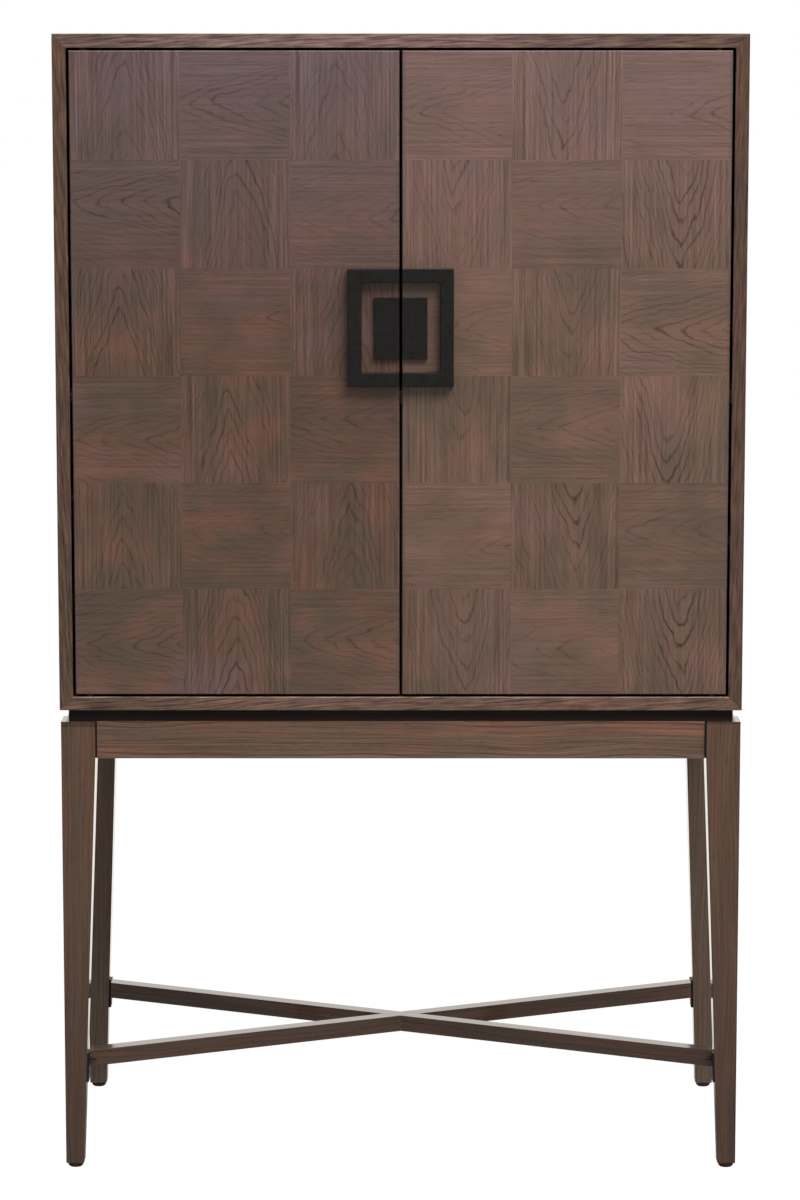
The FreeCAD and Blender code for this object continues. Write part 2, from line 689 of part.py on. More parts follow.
def make_case_plates(pins, screws):
    """The plates let into floor and ceiling of the case, which hold the pins; returns blanks."""
    plates = []
    for word, side in SIDES:
        for end, z in (("low", ("inside_floor - plate_thick", "inside_floor")),
                       ("high", ("inside_ceiling", "inside_ceiling + plate_thick"))):
            plates.append(block(f"case_plate_{word}_{end}", plate_span(side), PLATE_DEPTH, z))
    blanks = group("case_plate_blanks", plates)
    keep(carve("case_pivot_plates", blanks, [pins, screws]), "case_pivot_plates")
    return blanks


def catch_screw_spots(side):
    """Two screws through a catch into the ceiling, sunk in bores."""
    return [(f"{side} * (catch_near + {quarter} * catch_width / 4)",
             "door_back + strike_thick + catch_gap + catch_depth / 2",
             "inside_ceiling - catch_height + catch_bore", POINT_UP) for quarter in (1, 3)]


def make_catches(screws):
    """A magnetic catch behind the top inner corner of each door."""
    y = ("door_back + strike_thick + catch_gap",
         "door_back + strike_thick + catch_gap + catch_depth")
    z = ("inside_ceiling - catch_height", "inside_ceiling")
    blocks = [block(f"{word}_catch", span(side, "catch_near", "catch_near + catch_width"), y, z)
              for word, side in SIDES]
    bores = [rod(f"{word}_catch_bore_{number}", "screw_head_radius + catch_bore_play",
                 "catch_bore", (x, y, "inside_ceiling - catch_height"))
             for word, side in SIDES
             for number, (x, y, _z, _turn) in enumerate(catch_screw_spots(side), start=1)]
    keep(carve("magnetic_catches", group("catch_blanks", blocks), [screws] + bores),
         "magnetic_catches")


# Doors.

def make_door_screws(word, side):
    """The wood screws of a door: two in each pivot plate and one in the strike plate."""
    spots = plate_screw_spots(side, "door_base", POINT_UP)
    spots += plate_screw_spots(side, "door_top", POINT_DOWN)
    spots.append((f"{side} * (catch_near + catch_width / 2)", "door_back + strike_thick",
                  "door_top - strike_drop - strike_height / 2", POINT_FRONT))
    return drive(word + "_door_screws", spots)


def make_handle_screws(word, side, long_screw, short_screw):
    """Two long screws into the frame of the pull and two short ones into its badge plate."""
    frame_x = f"{side} * (handle_half_width - handle_screw_inset)"
    badge_x = f"{side} * (badge_half_width / 2 + door_near / 2)"
    frame_rise = "(handle_height / 2 - handle_screw_inset)"
    badge_rise = "(badge_height / 2 - badge_screw_inset)"
    pieces = []
    for kind, pattern, x, level, rise in (
            ("long", long_screw, frame_x, "handle_level", frame_rise),
            ("short", short_screw, badge_x, "badge_level", badge_rise)):
        spots = [(x, "door_back", f"{level} + {end} * {rise}", POINT_FRONT) for end in (-1, 1)]
        pieces.append(copies(f"{word}_{kind}_screws", pattern, spots))
    name = word + "_handle_screws"
    return keep(group(name, pieces), name)


def make_pull(word, side, screws):
    """Half of the framed pull: a bent square bar and the badge plate inside it."""
    out, inner, near = "handle_half_width", "(handle_half_width - handle_bar)", "door_near"
    tall, low = "handle_height / 2", "(handle_height / 2 - handle_bar)"
    profile = ((out, f"-{tall}"), (near, f"-{tall}"), (near, f"-{low}"), (inner, f"-{low}"),
               (inner, low), (near, low), (near, tall), (out, tall))
    corners = [(f"{side} * {x}", f"handle_level + {z}") for x, z in profile]
    frame = prism(word + "_frame_blank", "XZ_Plane", corners,
                  "case_front - handle_depth", "case_front")
    bevel(frame, outermost_face(Vector(0, -1, 0)), "handle_bevel")
    keep(carve(word + "_handle_frame", frame, [screws]), word + "_handle_frame")
    half = "badge_height / 2"
    corners = [(f"{side} * {x}", f"badge_level + {z}")
               for x, z in ((near, f"-{half}"), ("badge_half_width", f"-{half}"),
                            ("badge_half_width", half), (near, half))]
    badge = prism(word + "_badge_blank", "XZ_Plane", corners,
                  "case_front - badge_thick", "case_front")
    bevel(badge, outermost_face(Vector(0, -1, 0)), "badge_bevel")
    keep(carve(word + "_handle_plate", badge, [screws]), word + "_handle_plate")


def make_door_plates(word, side, screws):
    """The plates let into the top and bottom edges of a door, bored for the pivot pins."""
    ends = (("low", ("door_base", "door_base + plate_thick")),
            ("high", ("door_top - plate_thick", "door_top")))
    blanks = group(word + "_plate_blanks", [
        block(f"{word}_plate_{end}", plate_span(side), PLATE_DEPTH, z) for end, z in ends])
    bores = [rod(f"{word}_bore_{end}", "pivot_radius + pivot_play", "plate_thick",
                 (f"{side} * pivot_x", "pivot_y", z[0])) for end, z in ends]
    keep(carve(word + "_door_pivot_plates", blanks, bores + [screws]),
         word + "_door_pivot_plates")
    return blanks


def make_strike(word, side, screws):
    """The steel plate that the catch holds."""
    plate = block(word + "_strike_blank", span(side, "catch_near", "catch_near + catch_width"),
                  ("door_back", "door_back + strike_thick"),
                  ("door_top - strike_drop - strike_height", "door_top - strike_drop"))
    keep(carve(word + "_strike_plate", plate, [screws]), word + "_strike_plate")


def make_door(word, side, long_screw, short_screw):
    """A door with its pull, pivot plates and strike plate."""
    screws = make_door_screws(word, side)
    handle_screws = make_handle_screws(word, side, long_screw, short_screw)
    make_pull(word, side, handle_screws)
    plates = make_door_plates(word, side, screws)
    make_strike(word, side, screws)
    edges = span(side, "door_near", "door_far")
    corners = ((edges[0], "door_base"), (edges[1], "door_base"), (edges[1], "door_top"),
               (edges[0], "door_top"))
    slab = prism(word + "_door_slab", "XZ_Plane", corners, "case_front", "door_back")
    bevel(slab, outermost_face(Vector(0, -1, 0)), "door_bevel")
    depth = "plate_thick + pivot_bite + pivot_drill_play"
    drills = [rod(f"{word}_drill_{end}", "pivot_radius + pivot_drill_play", depth,
                  (f"{side} * pivot_x", "pivot_y", z))
              for end, z in (("low", "door_base"), ("high", f"door_top - ({depth})"))]
    name = word + "_door_panel"
    keep(carve(name, slab, [plates, screws, handle_screws] + drills), name)


# Counter and fold-out leaves.

def hinge_half(name, half, moving):
    """Half of a butt hinge in a frame whose x axis is its pin: plate, ties and knuckles.

    half is -1 for the plate that hangs below the pin, on the counter, and 1 for the plate
    that stands above it, on the stowed leaf.
    """
    left, right = "-hinge_half_length", "hinge_half_length"
    plate_y = ("hinge_play / 2", "hinge_play / 2 + hinge_plate_thick")
    heights = {-1: ("-(axis_rise + hinge_plate_height)", "-axis_rise"),
               1: ("axis_rise", "axis_rise + hinge_plate_height")}
    ties = {-1: ("-axis_rise", "0"), 1: ("0", "axis_rise")}
    pieces = [block(name + "_plate", (left, right), plate_y, heights[half])]
    middle = ("knuckle_clear - knuckle_length / 2", "knuckle_length / 2 - knuckle_clear")
    ends = ((left, "-knuckle_length / 2"), ("knuckle_length / 2", right))
    for number, x in enumerate((middle,) if moving else ends, start=1):
        pieces.append(block(f"{name}_tie_{number}", x, plate_y, ties[half]))
        pieces.append(rod(f"{name}_knuckle_{number}", "knuckle_radius", f"{x[1]} - ({x[0]})",
                          (x[0], "0", "0"), RISE_SIDE[1]))
    radius = "hinge_pin_radius + hinge_pin_play" if moving else "hinge_pin_radius"
    bore = rod(name + "_bore", radius, "2 * hinge_half_length", (left, "0", "0"), RISE_SIDE[1])
    return carve(name, join(name + "_blank", pieces), [bore])


def hinge_centres(side):
    """The x positions of the two hinges of a leaf."""
    return [f"{side} * (leaf_near + hinge_inset + hinge_half_length)",
            f"{side} * (leaf_far - hinge_inset - hinge_half_length)"]


def hinge_screw_spots(side, level):
    """Two screws in each hinge plate of a leaf, at a level."""
    reach = "(hinge_half_length - hinge_screw_inset)"
    return [(f"{x} + {end} * {reach}", "counter_front - hinge_plate_thick", level, POINT_BACK)
            for x in hinge_centres(side) for end in (-1, 1)]


def make_leaf(word, side, moving_half):
    """One leaf of the fold-out shelf, stowed flat on the counter."""
    level = "leaf_under + hinge_screw_drop"
    name = word + "_leaf"
    screws = drive(name + "_screws", hinge_screw_spots(side, level))
    spots = [(x, "axis_y", "axis_level", RISE_UP) for x in hinge_centres(side)]
    plates = copies(name + "_plate_blanks", moving_half, spots)
    keep(carve(name + "_hinge_plates", plates, [screws]), name + "_hinge_plates")
    corners = (("counter_front", "leaf_under"), ("leaf_end - leaf_bevel", "leaf_under"),
               ("leaf_end", "leaf_under + leaf_bevel"), ("leaf_end", "leaf_top - leaf_bevel"),
               ("leaf_end - leaf_bevel", "leaf_top"), ("counter_front", "leaf_top"))
    board = prism(name + "_board", "YZ_Plane", corners, *span(side, "leaf_near", "leaf_far"))
    notch = rod(name + "_notch", "notch_radius", "leaf_thick",
                (f"{side} * (leaf_near + leaf_far) / 2",
                 "leaf_end + notch_radius - notch_depth", "leaf_under"))
    keep(carve(name, board, [notch, screws]), name)


def make_counter(case_screws):
    """The fixed counter with the hinge plates, pins and bumpers that the leaves need."""
    fixed_half = hinge_half("fixed_half", -1, False)
    moving_half = hinge_half("moving_half", 1, True)
    centres = [x for _word, side in SIDES for x in hinge_centres(side)]
    spots = [(x, "axis_y", "axis_level", RISE_UP) for x in centres]
    plates = copies("counter_plate_blanks", fixed_half, spots)
    keep(carve("counter_hinge_plates", plates, [case_screws]), "counter_hinge_plates")
    spots = [(f"{x} - hinge_half_length", "axis_y", "axis_level", RISE_SIDE[1])
             for x in centres]
    pin = rod("hinge_pin", "hinge_pin_radius", "2 * hinge_half_length")
    keep(copies("leaf_hinge_pins", pin, spots), "leaf_hinge_pins")
    board = block("counter_board", ("-inner_half", "inner_half"), ("counter_front", "back_face"),
                  ("counter_under", "counter_top"))
    keep(carve("counter_shelf", board, [case_screws]), "counter_shelf")
    bumper = turned("bumper", (
        ("0", "0"), ("bumper_radius", "0"), ("bumper_radius", "axis_rise"),
        ("bumper_radius - bumper_gap", "2 * axis_rise - bumper_gap"),
        ("0", "2 * axis_rise - bumper_gap")))
    spots = [(f"{side} * ({x})", "leaf_end - bumper_inset", "counter_top", RISE_UP)
             for _word, side in SIDES
             for x in ("leaf_near + bumper_inset", "leaf_far - bumper_inset")]
    keep(copies("leaf_bumpers", bumper, spots), "leaf_bumpers")
    for word, side in SIDES:
        make_leaf(word, side, moving_half)


# Inside fittings.

def rack_spans(start, pitch):
    """The thickness range of each board of the rack along x or z."""
    return [(f"{start} + {number} * {pitch} - rack_board", f"{start} + {number} * {pitch}")
            for number in range(1, RACK_BOARDS + 1)]


def make_rack():
    """The bottle rack: boards half-lapped into three by three cells, left of the divider."""
    x_all, z_all = ("-inner_half", "-divider_half"), ("inside_floor", "counter_under")
    y_all = ("rack_front", "rack_back")
    uprights = rack_spans("-inner_half", "rack_pitch_x")
    shelves = rack_spans("inside_floor", "rack_pitch_z")
    front_half, rear_half = ("rack_front", "rack_middle"), ("rack_middle", "rack_back")
    boards = []
    for number, x in enumerate(uprights, start=1):
        slots = [block(f"upright_{number}_slot_{row}", x, front_half, z)
                 for row, z in enumerate(shelves, start=1)]
        boards.append(carve(f"rack_upright_{number}",
                            block(f"rack_upright_{number}_board", x, y_all, z_all), slots))
    for number, z in enumerate(shelves, start=1):
        slots = [block(f"shelf_{number}_slot_{column}", x, rear_half, z)
                 for column, x in enumerate(uprights, start=1)]
        boards.append(carve(f"rack_shelf_{number}",
                            block(f"rack_shelf_{number}_board", x_all, y_all, z), slots))
    keep(group("bottle_rack", boards), "bottle_rack")


def make_shelf_pins():
    """Four pins that carry the loose shelf right of the divider."""
    pin = rod("shelf_pin", "shelf_pin_radius", "shelf_pin_bite + shelf_pin_reach")
    level = "shelf_under - shelf_pin_radius"
    depths = ("counter_front + shelf_setback + shelf_pin_inset", "back_face - 2 * shelf_pin_inset")
    spots = [("divider_half - shelf_pin_bite", y, level, RISE_SIDE[1]) for y in depths]
    spots += [("inner_half + shelf_pin_bite", y, level, RISE_SIDE[-1]) for y in depths]
    return keep(copies("shelf_pins", pin, spots), "shelf_pins")


def make_lower(pins):
    """The divider and the loose shelf."""
    board = block("divider_board", ("-divider_half", "divider_half"),
                  ("counter_front", "back_face"), ("inside_floor", "counter_under"))
    keep(carve("centre_divider", board, [pins]), "centre_divider")
    keep(block("lower_shelf", ("divider_half + shelf_play", "inner_half - shelf_play"),
               ("counter_front + shelf_setback", "back_face - shelf_setback"),
               ("shelf_under", "shelf_under + shelf_thick")), "lower_shelf")


def make_upper():
    """The mirror's two panes and their stile on the back panel, and the stemware rails."""
    keep(block("mirror_stile", ("-stile_width / 2", "stile_width / 2"),
               ("back_face - stile_thick", "back_face"), ("counter_top", "inside_ceiling")),
         "mirror_stile")
    panes = [block(word + "_mirror_pane", span(side, "stile_width / 2", "inner_half - mirror_side"),
                   ("back_face - mirror_thick", "back_face"),
                   ("counter_top + mirror_above", "inside_ceiling - mirror_below"))
             for word, side in SIDES]
    keep(group("mirror_panes", panes), "mirror_panes")
    web, flange = "rail_web / 2", "rail_flange / 2"
    neck, foot = "-rail_web_height", "-(rail_web_height + rail_flange_thick)"
    profile = ((web, "0"), (web, neck), (flange, neck), (flange, foot))
    rails = []
    for number in range(-RAIL_PAIRS, RAIL_PAIRS + 1):
        centre = f"{number} * rail_pitch"
        right = [(f"{centre} + {x}", f"inside_ceiling + {z}") for x, z in profile]
        left = [(f"{centre} - {x}", f"inside_ceiling + {z}") for x, z in reversed(profile)]
        rails.append(prism(f"stemware_rail_{number + RAIL_PAIRS + 1}", "XZ_Plane", right + left,
                           "back_face - rail_back_gap - rail_length", "back_face - rail_back_gap"))
    keep(group("stemware_rails", rails), "stemware_rails")


def make_case_screws():
    """The wood screws that the case takes: pivot plates, catches and counter hinges."""
    spots = []
    for _word, side in SIDES:
        spots += plate_screw_spots(side, "inside_floor", POINT_DOWN)
        spots += plate_screw_spots(side, "inside_ceiling", POINT_UP)
        spots += catch_screw_spots(side)
        spots += hinge_screw_spots(side, "counter_top - hinge_screw_drop")
    return drive("case_hinge_screws", spots)


def build():
    """Model every sub-part."""
    fill_sheet()
    make_screw()
    long_screw = make_handle_screw("long_screw", "handle_screw_bite")
    short_screw = make_handle_screw("short_screw", "badge_screw_bite")
    spots = [corner_spot(x, y, "bolt_inset") + ("block_base", RISE_UP)
             for _name, x, y, _turn in corner_turns()]
    bolts = keep(copies("case_bolts", make_bolt("bolt"), spots), "case_bolts")
    make_stand(bolts)
    make_plinth(bolts)
    back_screws = make_back_screws()
    case_screws = make_case_screws()
    pivot_pins = make_pivot_pins()
    plate_blanks = make_case_plates(pivot_pins, case_screws)
    shelf_pins = make_shelf_pins()
    pivot_cutters = [plate_blanks, pivot_pins, case_screws]
    make_case({"case_top": [back_screws] + pivot_cutters,
               "case_bottom": [back_screws, bolts] + pivot_cutters,
               "case_left_side": [back_screws],
               "case_right_side": [back_screws, shelf_pins]})
    make_back(back_screws)
    make_catches(case_screws)
    for word, side in SIDES:
        make_door(word, side, long_screw, short_screw)
    make_counter(case_screws)
    make_rack()
    make_lower(shelf_pins)
    make_upper()
    doc.recompute()


def check():
    """Stop if an object failed or a sub-part's shape is missing or not valid."""
    for item in doc.Objects:
        if any(word in item.State for word in ("Invalid", "Error")):
            raise RuntimeError(f"{item.Name} failed: {item.State}")
    for item in sub_parts:
        if item.Shape.isNull() or not item.Shape.isValid() or not item.Shape.Solids:
            raise RuntimeError(f"{item.Label} has no valid solid")


def export():
    """Write each sub-part to its own file."""
    os.makedirs("parts", exist_ok=True)
    for item in sub_parts:
        item.Shape.exportStep(os.path.join("parts", item.Label + ".step"))


build()
check()
export()
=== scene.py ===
import math

import bpy
from mathutils import Euler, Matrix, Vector


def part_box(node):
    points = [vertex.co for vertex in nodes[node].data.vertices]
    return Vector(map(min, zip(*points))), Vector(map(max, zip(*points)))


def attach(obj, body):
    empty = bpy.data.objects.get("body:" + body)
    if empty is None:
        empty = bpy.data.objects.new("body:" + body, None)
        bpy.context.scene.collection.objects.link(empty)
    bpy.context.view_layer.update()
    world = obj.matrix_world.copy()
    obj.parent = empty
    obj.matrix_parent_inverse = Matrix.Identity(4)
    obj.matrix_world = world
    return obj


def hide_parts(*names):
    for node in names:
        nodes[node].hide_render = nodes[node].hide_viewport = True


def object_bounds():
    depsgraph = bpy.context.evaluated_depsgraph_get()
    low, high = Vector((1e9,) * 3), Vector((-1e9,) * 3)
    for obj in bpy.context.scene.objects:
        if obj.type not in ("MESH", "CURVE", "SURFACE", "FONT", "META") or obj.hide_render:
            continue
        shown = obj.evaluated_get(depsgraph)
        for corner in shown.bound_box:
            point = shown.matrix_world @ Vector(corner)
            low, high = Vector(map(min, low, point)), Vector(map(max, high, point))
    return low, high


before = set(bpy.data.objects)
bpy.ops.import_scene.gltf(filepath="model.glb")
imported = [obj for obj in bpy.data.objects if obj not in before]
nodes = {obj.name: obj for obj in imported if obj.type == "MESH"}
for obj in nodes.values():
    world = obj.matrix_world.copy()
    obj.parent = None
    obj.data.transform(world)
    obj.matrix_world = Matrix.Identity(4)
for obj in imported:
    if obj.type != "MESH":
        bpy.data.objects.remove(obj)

cad_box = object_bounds()

# ---------------------------------------------------------------- sizes of the cabinet, in metres
HALF_WIDTH = cad_box[1][0]
door_low, door_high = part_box("right_door_panel")
DOOR_EDGE = door_low[0]
DOOR_WIDTH = door_high[0] - door_low[0]
DOOR_TOP = door_high[2]
DOOR_FACE = door_low[1]
COLUMNS = 3
ROWS = 6
SQUARE_WIDTH = DOOR_WIDTH / COLUMNS
SQUARE_HEIGHT = (DOOR_TOP - door_low[2]) / ROWS
CASE_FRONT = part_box("case_bottom")[0][1]
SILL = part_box("case_bottom")[1][2]
DIVIDER_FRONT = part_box("centre_divider")[0][1]
LEG_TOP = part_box("front_left_leg")[1][2]
APRON_FACE, APRON_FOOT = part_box("front_apron")[0][1:]
# an apron's visible ends start a groove's width before the legs
APRON_END = -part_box("front_left_leg")[1][0] - 0.0022

# how deep the pattern of a front face reaches, which takes in its eased edges
DOOR_SKIN = 0.0009
BOARD_SKIN = 0.0006
SILL_SKIN = 0.0012
APRON_SKIN = 0.002
GAP_SHADE_SKIN = 0.0005
# how far in from a door's upright edges their painted shade, darker and greyer, is strongest, and where it
# ends
RIM_START, RIM_END = 0.0008, 0.0052
# how wide the painted highlight along a door's eased top edge is, and along the sill's
DOOR_TOP_HIGHLIGHT = 0.0010
SILL_HIGHLIGHT = 0.0011
# how far up from its foot an apron's lower edge turns grey, fully and at all
ARRIS_FULL, ARRIS_END = 0.0028, 0.0042
# how far the edge of the darker band at a leg's top runs out
TOP_BAND_EDGE = 0.0015
# the heights between which the painted shade on a front leg fades out upwards from its foot
LEG_SHADE_LOW, LEG_SHADE_HIGH = 0.02, 0.45
# the heights between which a painted sheen turns a door's face dusky towards its top, and those between
# which its foot lightens
SHEEN_LOW, SHEEN_HIGH = 1.1, 1.5
FOOT_LOW, FOOT_HIGH = 0.65, 1.05

# ---------------------------------------------------------------- how fine oak is, per metre
RINGS = 150.0
DOOR_RINGS = 170.0
FIBRES = 330.0
PORES = 900.0
# the shares of a ring in which its dark line fades out and comes back
EARLY_WOOD = 0.26
LATE_WOOD = 0.88
# how much darker rings and pores are than the wood between them, and how strong its fibres are
RING_DARKNESS = 0.64
PORE_DARKNESS = 0.25
FIBRE_GAIN = 5.0
COAT_ROUGHNESS = 0.06
# the nested arches of a veneer square: so many per metre of its length, and so many more on the
# way from its middle to its side
ARCHES = 34.0
SIDE_ARCHES = 9.0
SIDE_REACH = 0.07
# how pointed the arches are, how many arches apart two squares may start, and how far an arch's
# line strays, in arches
ARCH_POINT = 1.35
ARCH_START = 9.0
ARCH_STRAY = 0.26
# how far the arches may stand off a square's middle, and how far they waver along it
ARCH_SHIFT = 0.014
ARCH_WAVER = 0.008
# how far from the middle of the arches their lines have lost most of their strength, and from
# where to where the fibres gain theirs
BOLD_REACH = 0.06
STREAKS_START, STREAKS_END = 0.015, 0.055
# how much a board's rings slant through its thickness, and how far they waver along it
RING_SLANT = 0.83
RING_WAVER = 0.007
# the run of chance that gives each square its number, and how far apart the numbers lie in the
# noise that the squares are drawn from
SQUARE_CHANCE = 3.7
SQUARE_STEP = 40.0


def tone(red, green, blue):
    """A colour as a screen shows it, turned into the light values that a shader takes."""
    def linear(value):
        value /= 255
        return value / 12.92 if value <= 0.04045 else ((value + 0.055) / 1.055) ** 2.4
    return (linear(red), linear(green), linear(blue), 1.0)


class Nodes:
    """Short names for the nodes that the finishes and the studio are made of."""

    def __init__(self, tree):
        self.tree = tree

    def node(self, kind, **settings):
        made = self.tree.nodes.new(kind)
        for key, value in settings.items():
            setattr(made, key, value)
        return made

    def feed(self, socket, value):
        if isinstance(value, bpy.types.NodeSocket):
            self.tree.links.new(value, socket)
        else:
            socket.default_value = value

    def maths(self, operation, first, second=0.0):
        made = self.node("ShaderNodeMath", operation=operation)
        for socket, value in zip(made.inputs, (first, second)):
            self.feed(socket, value)
        return made.outputs[0]

    def add(self, first, second):
        return self.maths("ADD", first, second)

    def times(self, first, second):
        return self.maths("MULTIPLY", first, second)

    def less(self, value, limit):
        return self.maths("LESS_THAN", value, limit)

    def distance(self, value):
        return self.maths("ABSOLUTE", value)

    def vector(self, x, y, z):
        made = self.node("ShaderNodeCombineXYZ")
        for socket, value in zip(made.inputs, (x, y, z)):
            self.feed(socket, value)
        return made.outputs[0]

    def parts(self, vector):
        made = self.node("ShaderNodeSeparateXYZ")
        self.feed(made.inputs[0], vector)
        return made.outputs[0], made.outputs[1], made.outputs[2]

    def noise(self, vector, scale=1.0, detail=2.0, roughness=0.5, distortion=0.0):
        made = self.node("ShaderNodeTexNoise")
        self.feed(made.inputs["Vector"], vector)
        self.feed(made.inputs["Scale"], scale)
        self.feed(made.inputs["Detail"], detail)
        self.feed(made.inputs["Roughness"], roughness)
        self.feed(made.inputs["Distortion"], distortion)
        return made.outputs[0]

    def drawn_out(self, along, across, deep, along_scale, across_scale, detail=2.0, roughness=0.5):
        """Noise drawn out along the grain. The scales are features per metre."""
        place = self.vector(self.times(along, along_scale), self.times(across, across_scale), deep)
        return self.noise(place, detail=detail, roughness=roughness)

    def chance(self, vector):
        """A steady random number and a random colour for each place given."""
        made = self.node("ShaderNodeTexWhiteNoise", noise_dimensions="3D")
        self.feed(made.inputs["Vector"], vector)
        return made.outputs[0], made.outputs[1]

    def span(self, value, low, high, start=0.0, end=1.0, smooth=False):
        """A value between low and high turned into one between start and end, and held there."""
        made = self.node("ShaderNodeMapRange", clamp=True)
        made.interpolation_type = "SMOOTHSTEP" if smooth else "LINEAR"
        for socket, given in zip(made.inputs, (value, low, high, start, end)):
            self.feed(socket, given)
        return made.outputs[0]

    def mix(self, share, first, second):
        made = self.node("ShaderNodeMix", data_type="FLOAT")
        self.feed(made.inputs[0], share)
        self.feed(made.inputs[2], first)
        self.feed(made.inputs[3], second)
        return made.outputs[0]

    def blend(self, share, first, second):
        made = self.node("ShaderNodeMix", data_type="RGBA")
        self.feed(made.inputs[0], share)
        self.feed(made.inputs[6], first)
        self.feed(made.inputs[7], second)
        return made.outputs[2]

    def shade(self, colour, value):
        """A colour made darker or lighter by a number that varies over the surface."""
        made = self.node("ShaderNodeVectorMath", operation="SCALE")
        self.feed(made.inputs[0], colour)
        self.feed(made.inputs["Scale"], value)
        return made.outputs[0]


class Finish(Nodes):
    """A material under way."""

    def __init__(self, name, gloss=0.5, metal=0.0):
        self.material = bpy.data.materials.new(name)
        self.material.use_nodes = True
        super().__init__(self.material.node_tree)
        self.shader = self.tree.nodes["Principled BSDF"]
        self.shader.inputs["Specular IOR Level"].default_value = gloss
        self.shader.inputs["Metallic"].default_value = metal
        self.place = self.node("ShaderNodeTexCoord").outputs["Object"]

    def turned(self, degrees):
        """The piece's own coordinates, turned about the upright axis."""
        made = self.node("ShaderNodeMapping", vector_type="POINT")
        self.feed(made.inputs["Vector"], self.place)
        made.inputs["Rotation"].default_value = (0.0, 0.0, math.radians(degrees))
        return made.outputs[0]

    def done(self, colour, roughness, height=None, depth=0.0):
        self.feed(self.shader.inputs["Base Color"], colour)
        self.feed(self.shader.inputs["Roughness"], roughness)
        if height is not None:
            bump = self.node("ShaderNodeBump")
            bump.inputs["Distance"].default_value = depth
            self.feed(bump.inputs["Height"], height)
            self.feed(self.shader.inputs["Normal"], bump.outputs[0])
        return self.material


# ---------------------------------------------------------------- wood
def oak_lines(finish, along, across, deep, rings, bold, stroke=6.0):
    """Grain of one piece of oak: growth rings, fine fibres and pores, each from 0 to 1. Rings is a
    number that rises by one from ring to ring, and stroke is how many fibres follow each other in
    a metre of the grain."""
    strength = finish.chance(finish.vector(finish.maths("FLOOR", rings), deep, 0.0))[0]
    part = finish.maths("FRACT", rings)
    early = finish.span(part, 0.0, EARLY_WOOD, 1.0, 0.0, smooth=True)
    late = finish.span(part, LATE_WOOD, 1.0, 0.0, 1.0, smooth=True)
    line = finish.maths("MAXIMUM", early, late)
    ring = finish.times(line, finish.span(strength, 0.25, 0.95, 0.12, 1.0))
    broken = finish.drawn_out(along, across, deep, 26.0, 90.0)
    ring = finish.times(finish.times(ring, finish.span(broken, 0.34, 0.58, 0.45, 1.0)), bold)
    fibre = finish.drawn_out(along, across, deep, stroke, FIBRES, detail=3.0, roughness=0.6)
    pore = finish.drawn_out(along, across, deep, 60.0, PORES, detail=1.0)
    return ring, fibre, finish.span(pore, 0.58, 0.74)


def wood_finish(finish, colour, grain, streaks, contrast=1.0, roughness=0.2, coat=1.0,
                depth=0.0001):
    """Darkens the rings and pores, and lets them into the lacquer."""
    ring, fibre, pore = grain
    streaks = finish.times(finish.add(fibre, -0.5), finish.times(streaks, FIBRE_GAIN * contrast))
    level = finish.maths("MAXIMUM", finish.add(streaks, 1.0), 0.5)
    level = finish.times(level, finish.mix(ring, 1.0, 1.0 - RING_DARKNESS * contrast))
    level = finish.times(level, finish.mix(pore, 1.0, 1.0 - PORE_DARKNESS * contrast))
    hollow = finish.maths("MAXIMUM", ring, pore)
    height = finish.add(finish.times(fibre, 0.4), finish.times(hollow, -0.7))
    rough = finish.span(finish.add(fibre, ring), 0.3, 1.3, roughness - 0.03, roughness + 0.10)
    finish.shader.inputs["Coat Weight"].default_value = coat
    finish.shader.inputs["Coat Roughness"].default_value = COAT_ROUGHNESS
    return finish.done(finish.shade(colour, level), rough, height, depth)


def square_number(finish, distance, size, count):
    """Which square of a row, counted from 0, a place lies in. Past the ends it is the last one."""
    number = finish.maths("FLOOR", finish.maths("DIVIDE", distance, size))
    return finish.maths("MINIMUM", finish.maths("MAXIMUM", number, 0.0), count - 1)


def door_stain_and_sheen(finish, along, across, deep, palette):
    """A door's colour: stain in broad clouds over the whole of it and in streaks within each square, random
    dusky patches, and a painted sheen that turns it dusky towards its top.
    """
    z = finish.parts(finish.place)[2]
    broad = finish.noise(finish.place, scale=6.0, detail=3.0, roughness=0.55, distortion=0.4)
    streak = finish.drawn_out(along, across, finish.add(deep, 5.0), 10.0, 24.0, detail=3.0)
    cloud = finish.add(finish.times(broad, 0.5), finish.times(streak, 0.5))
    grey, warm, dusky, rust = palette
    colour = finish.blend(finish.span(cloud, 0.40, 0.60, smooth=True), grey, warm)
    ember = finish.drawn_out(along, across, finish.add(deep, 9.0), 15.0, 18.0)
    colour = finish.blend(finish.span(ember, 0.50, 0.74, 0.0, 0.5, smooth=True), colour, rust)
    colour = finish.shade(colour, finish.span(ember, 0.3, 0.7, 0.92, 1.08))
    # painted sheen: the face turns dusky towards the door's top; random patches turn it dusky anywhere
    sheen_and_patches = finish.span(z, SHEEN_LOW, SHEEN_HIGH)
    sheen_and_patches = finish.times(sheen_and_patches, finish.span(broad, 0.3, 0.6, 0.5, 1.0))
    sheen_and_patches = finish.maths("MAXIMUM", sheen_and_patches, finish.span(broad, 0.5, 0.64, 0.0, 0.34, smooth=True))
    return finish.blend(sheen_and_patches, colour, dusky)


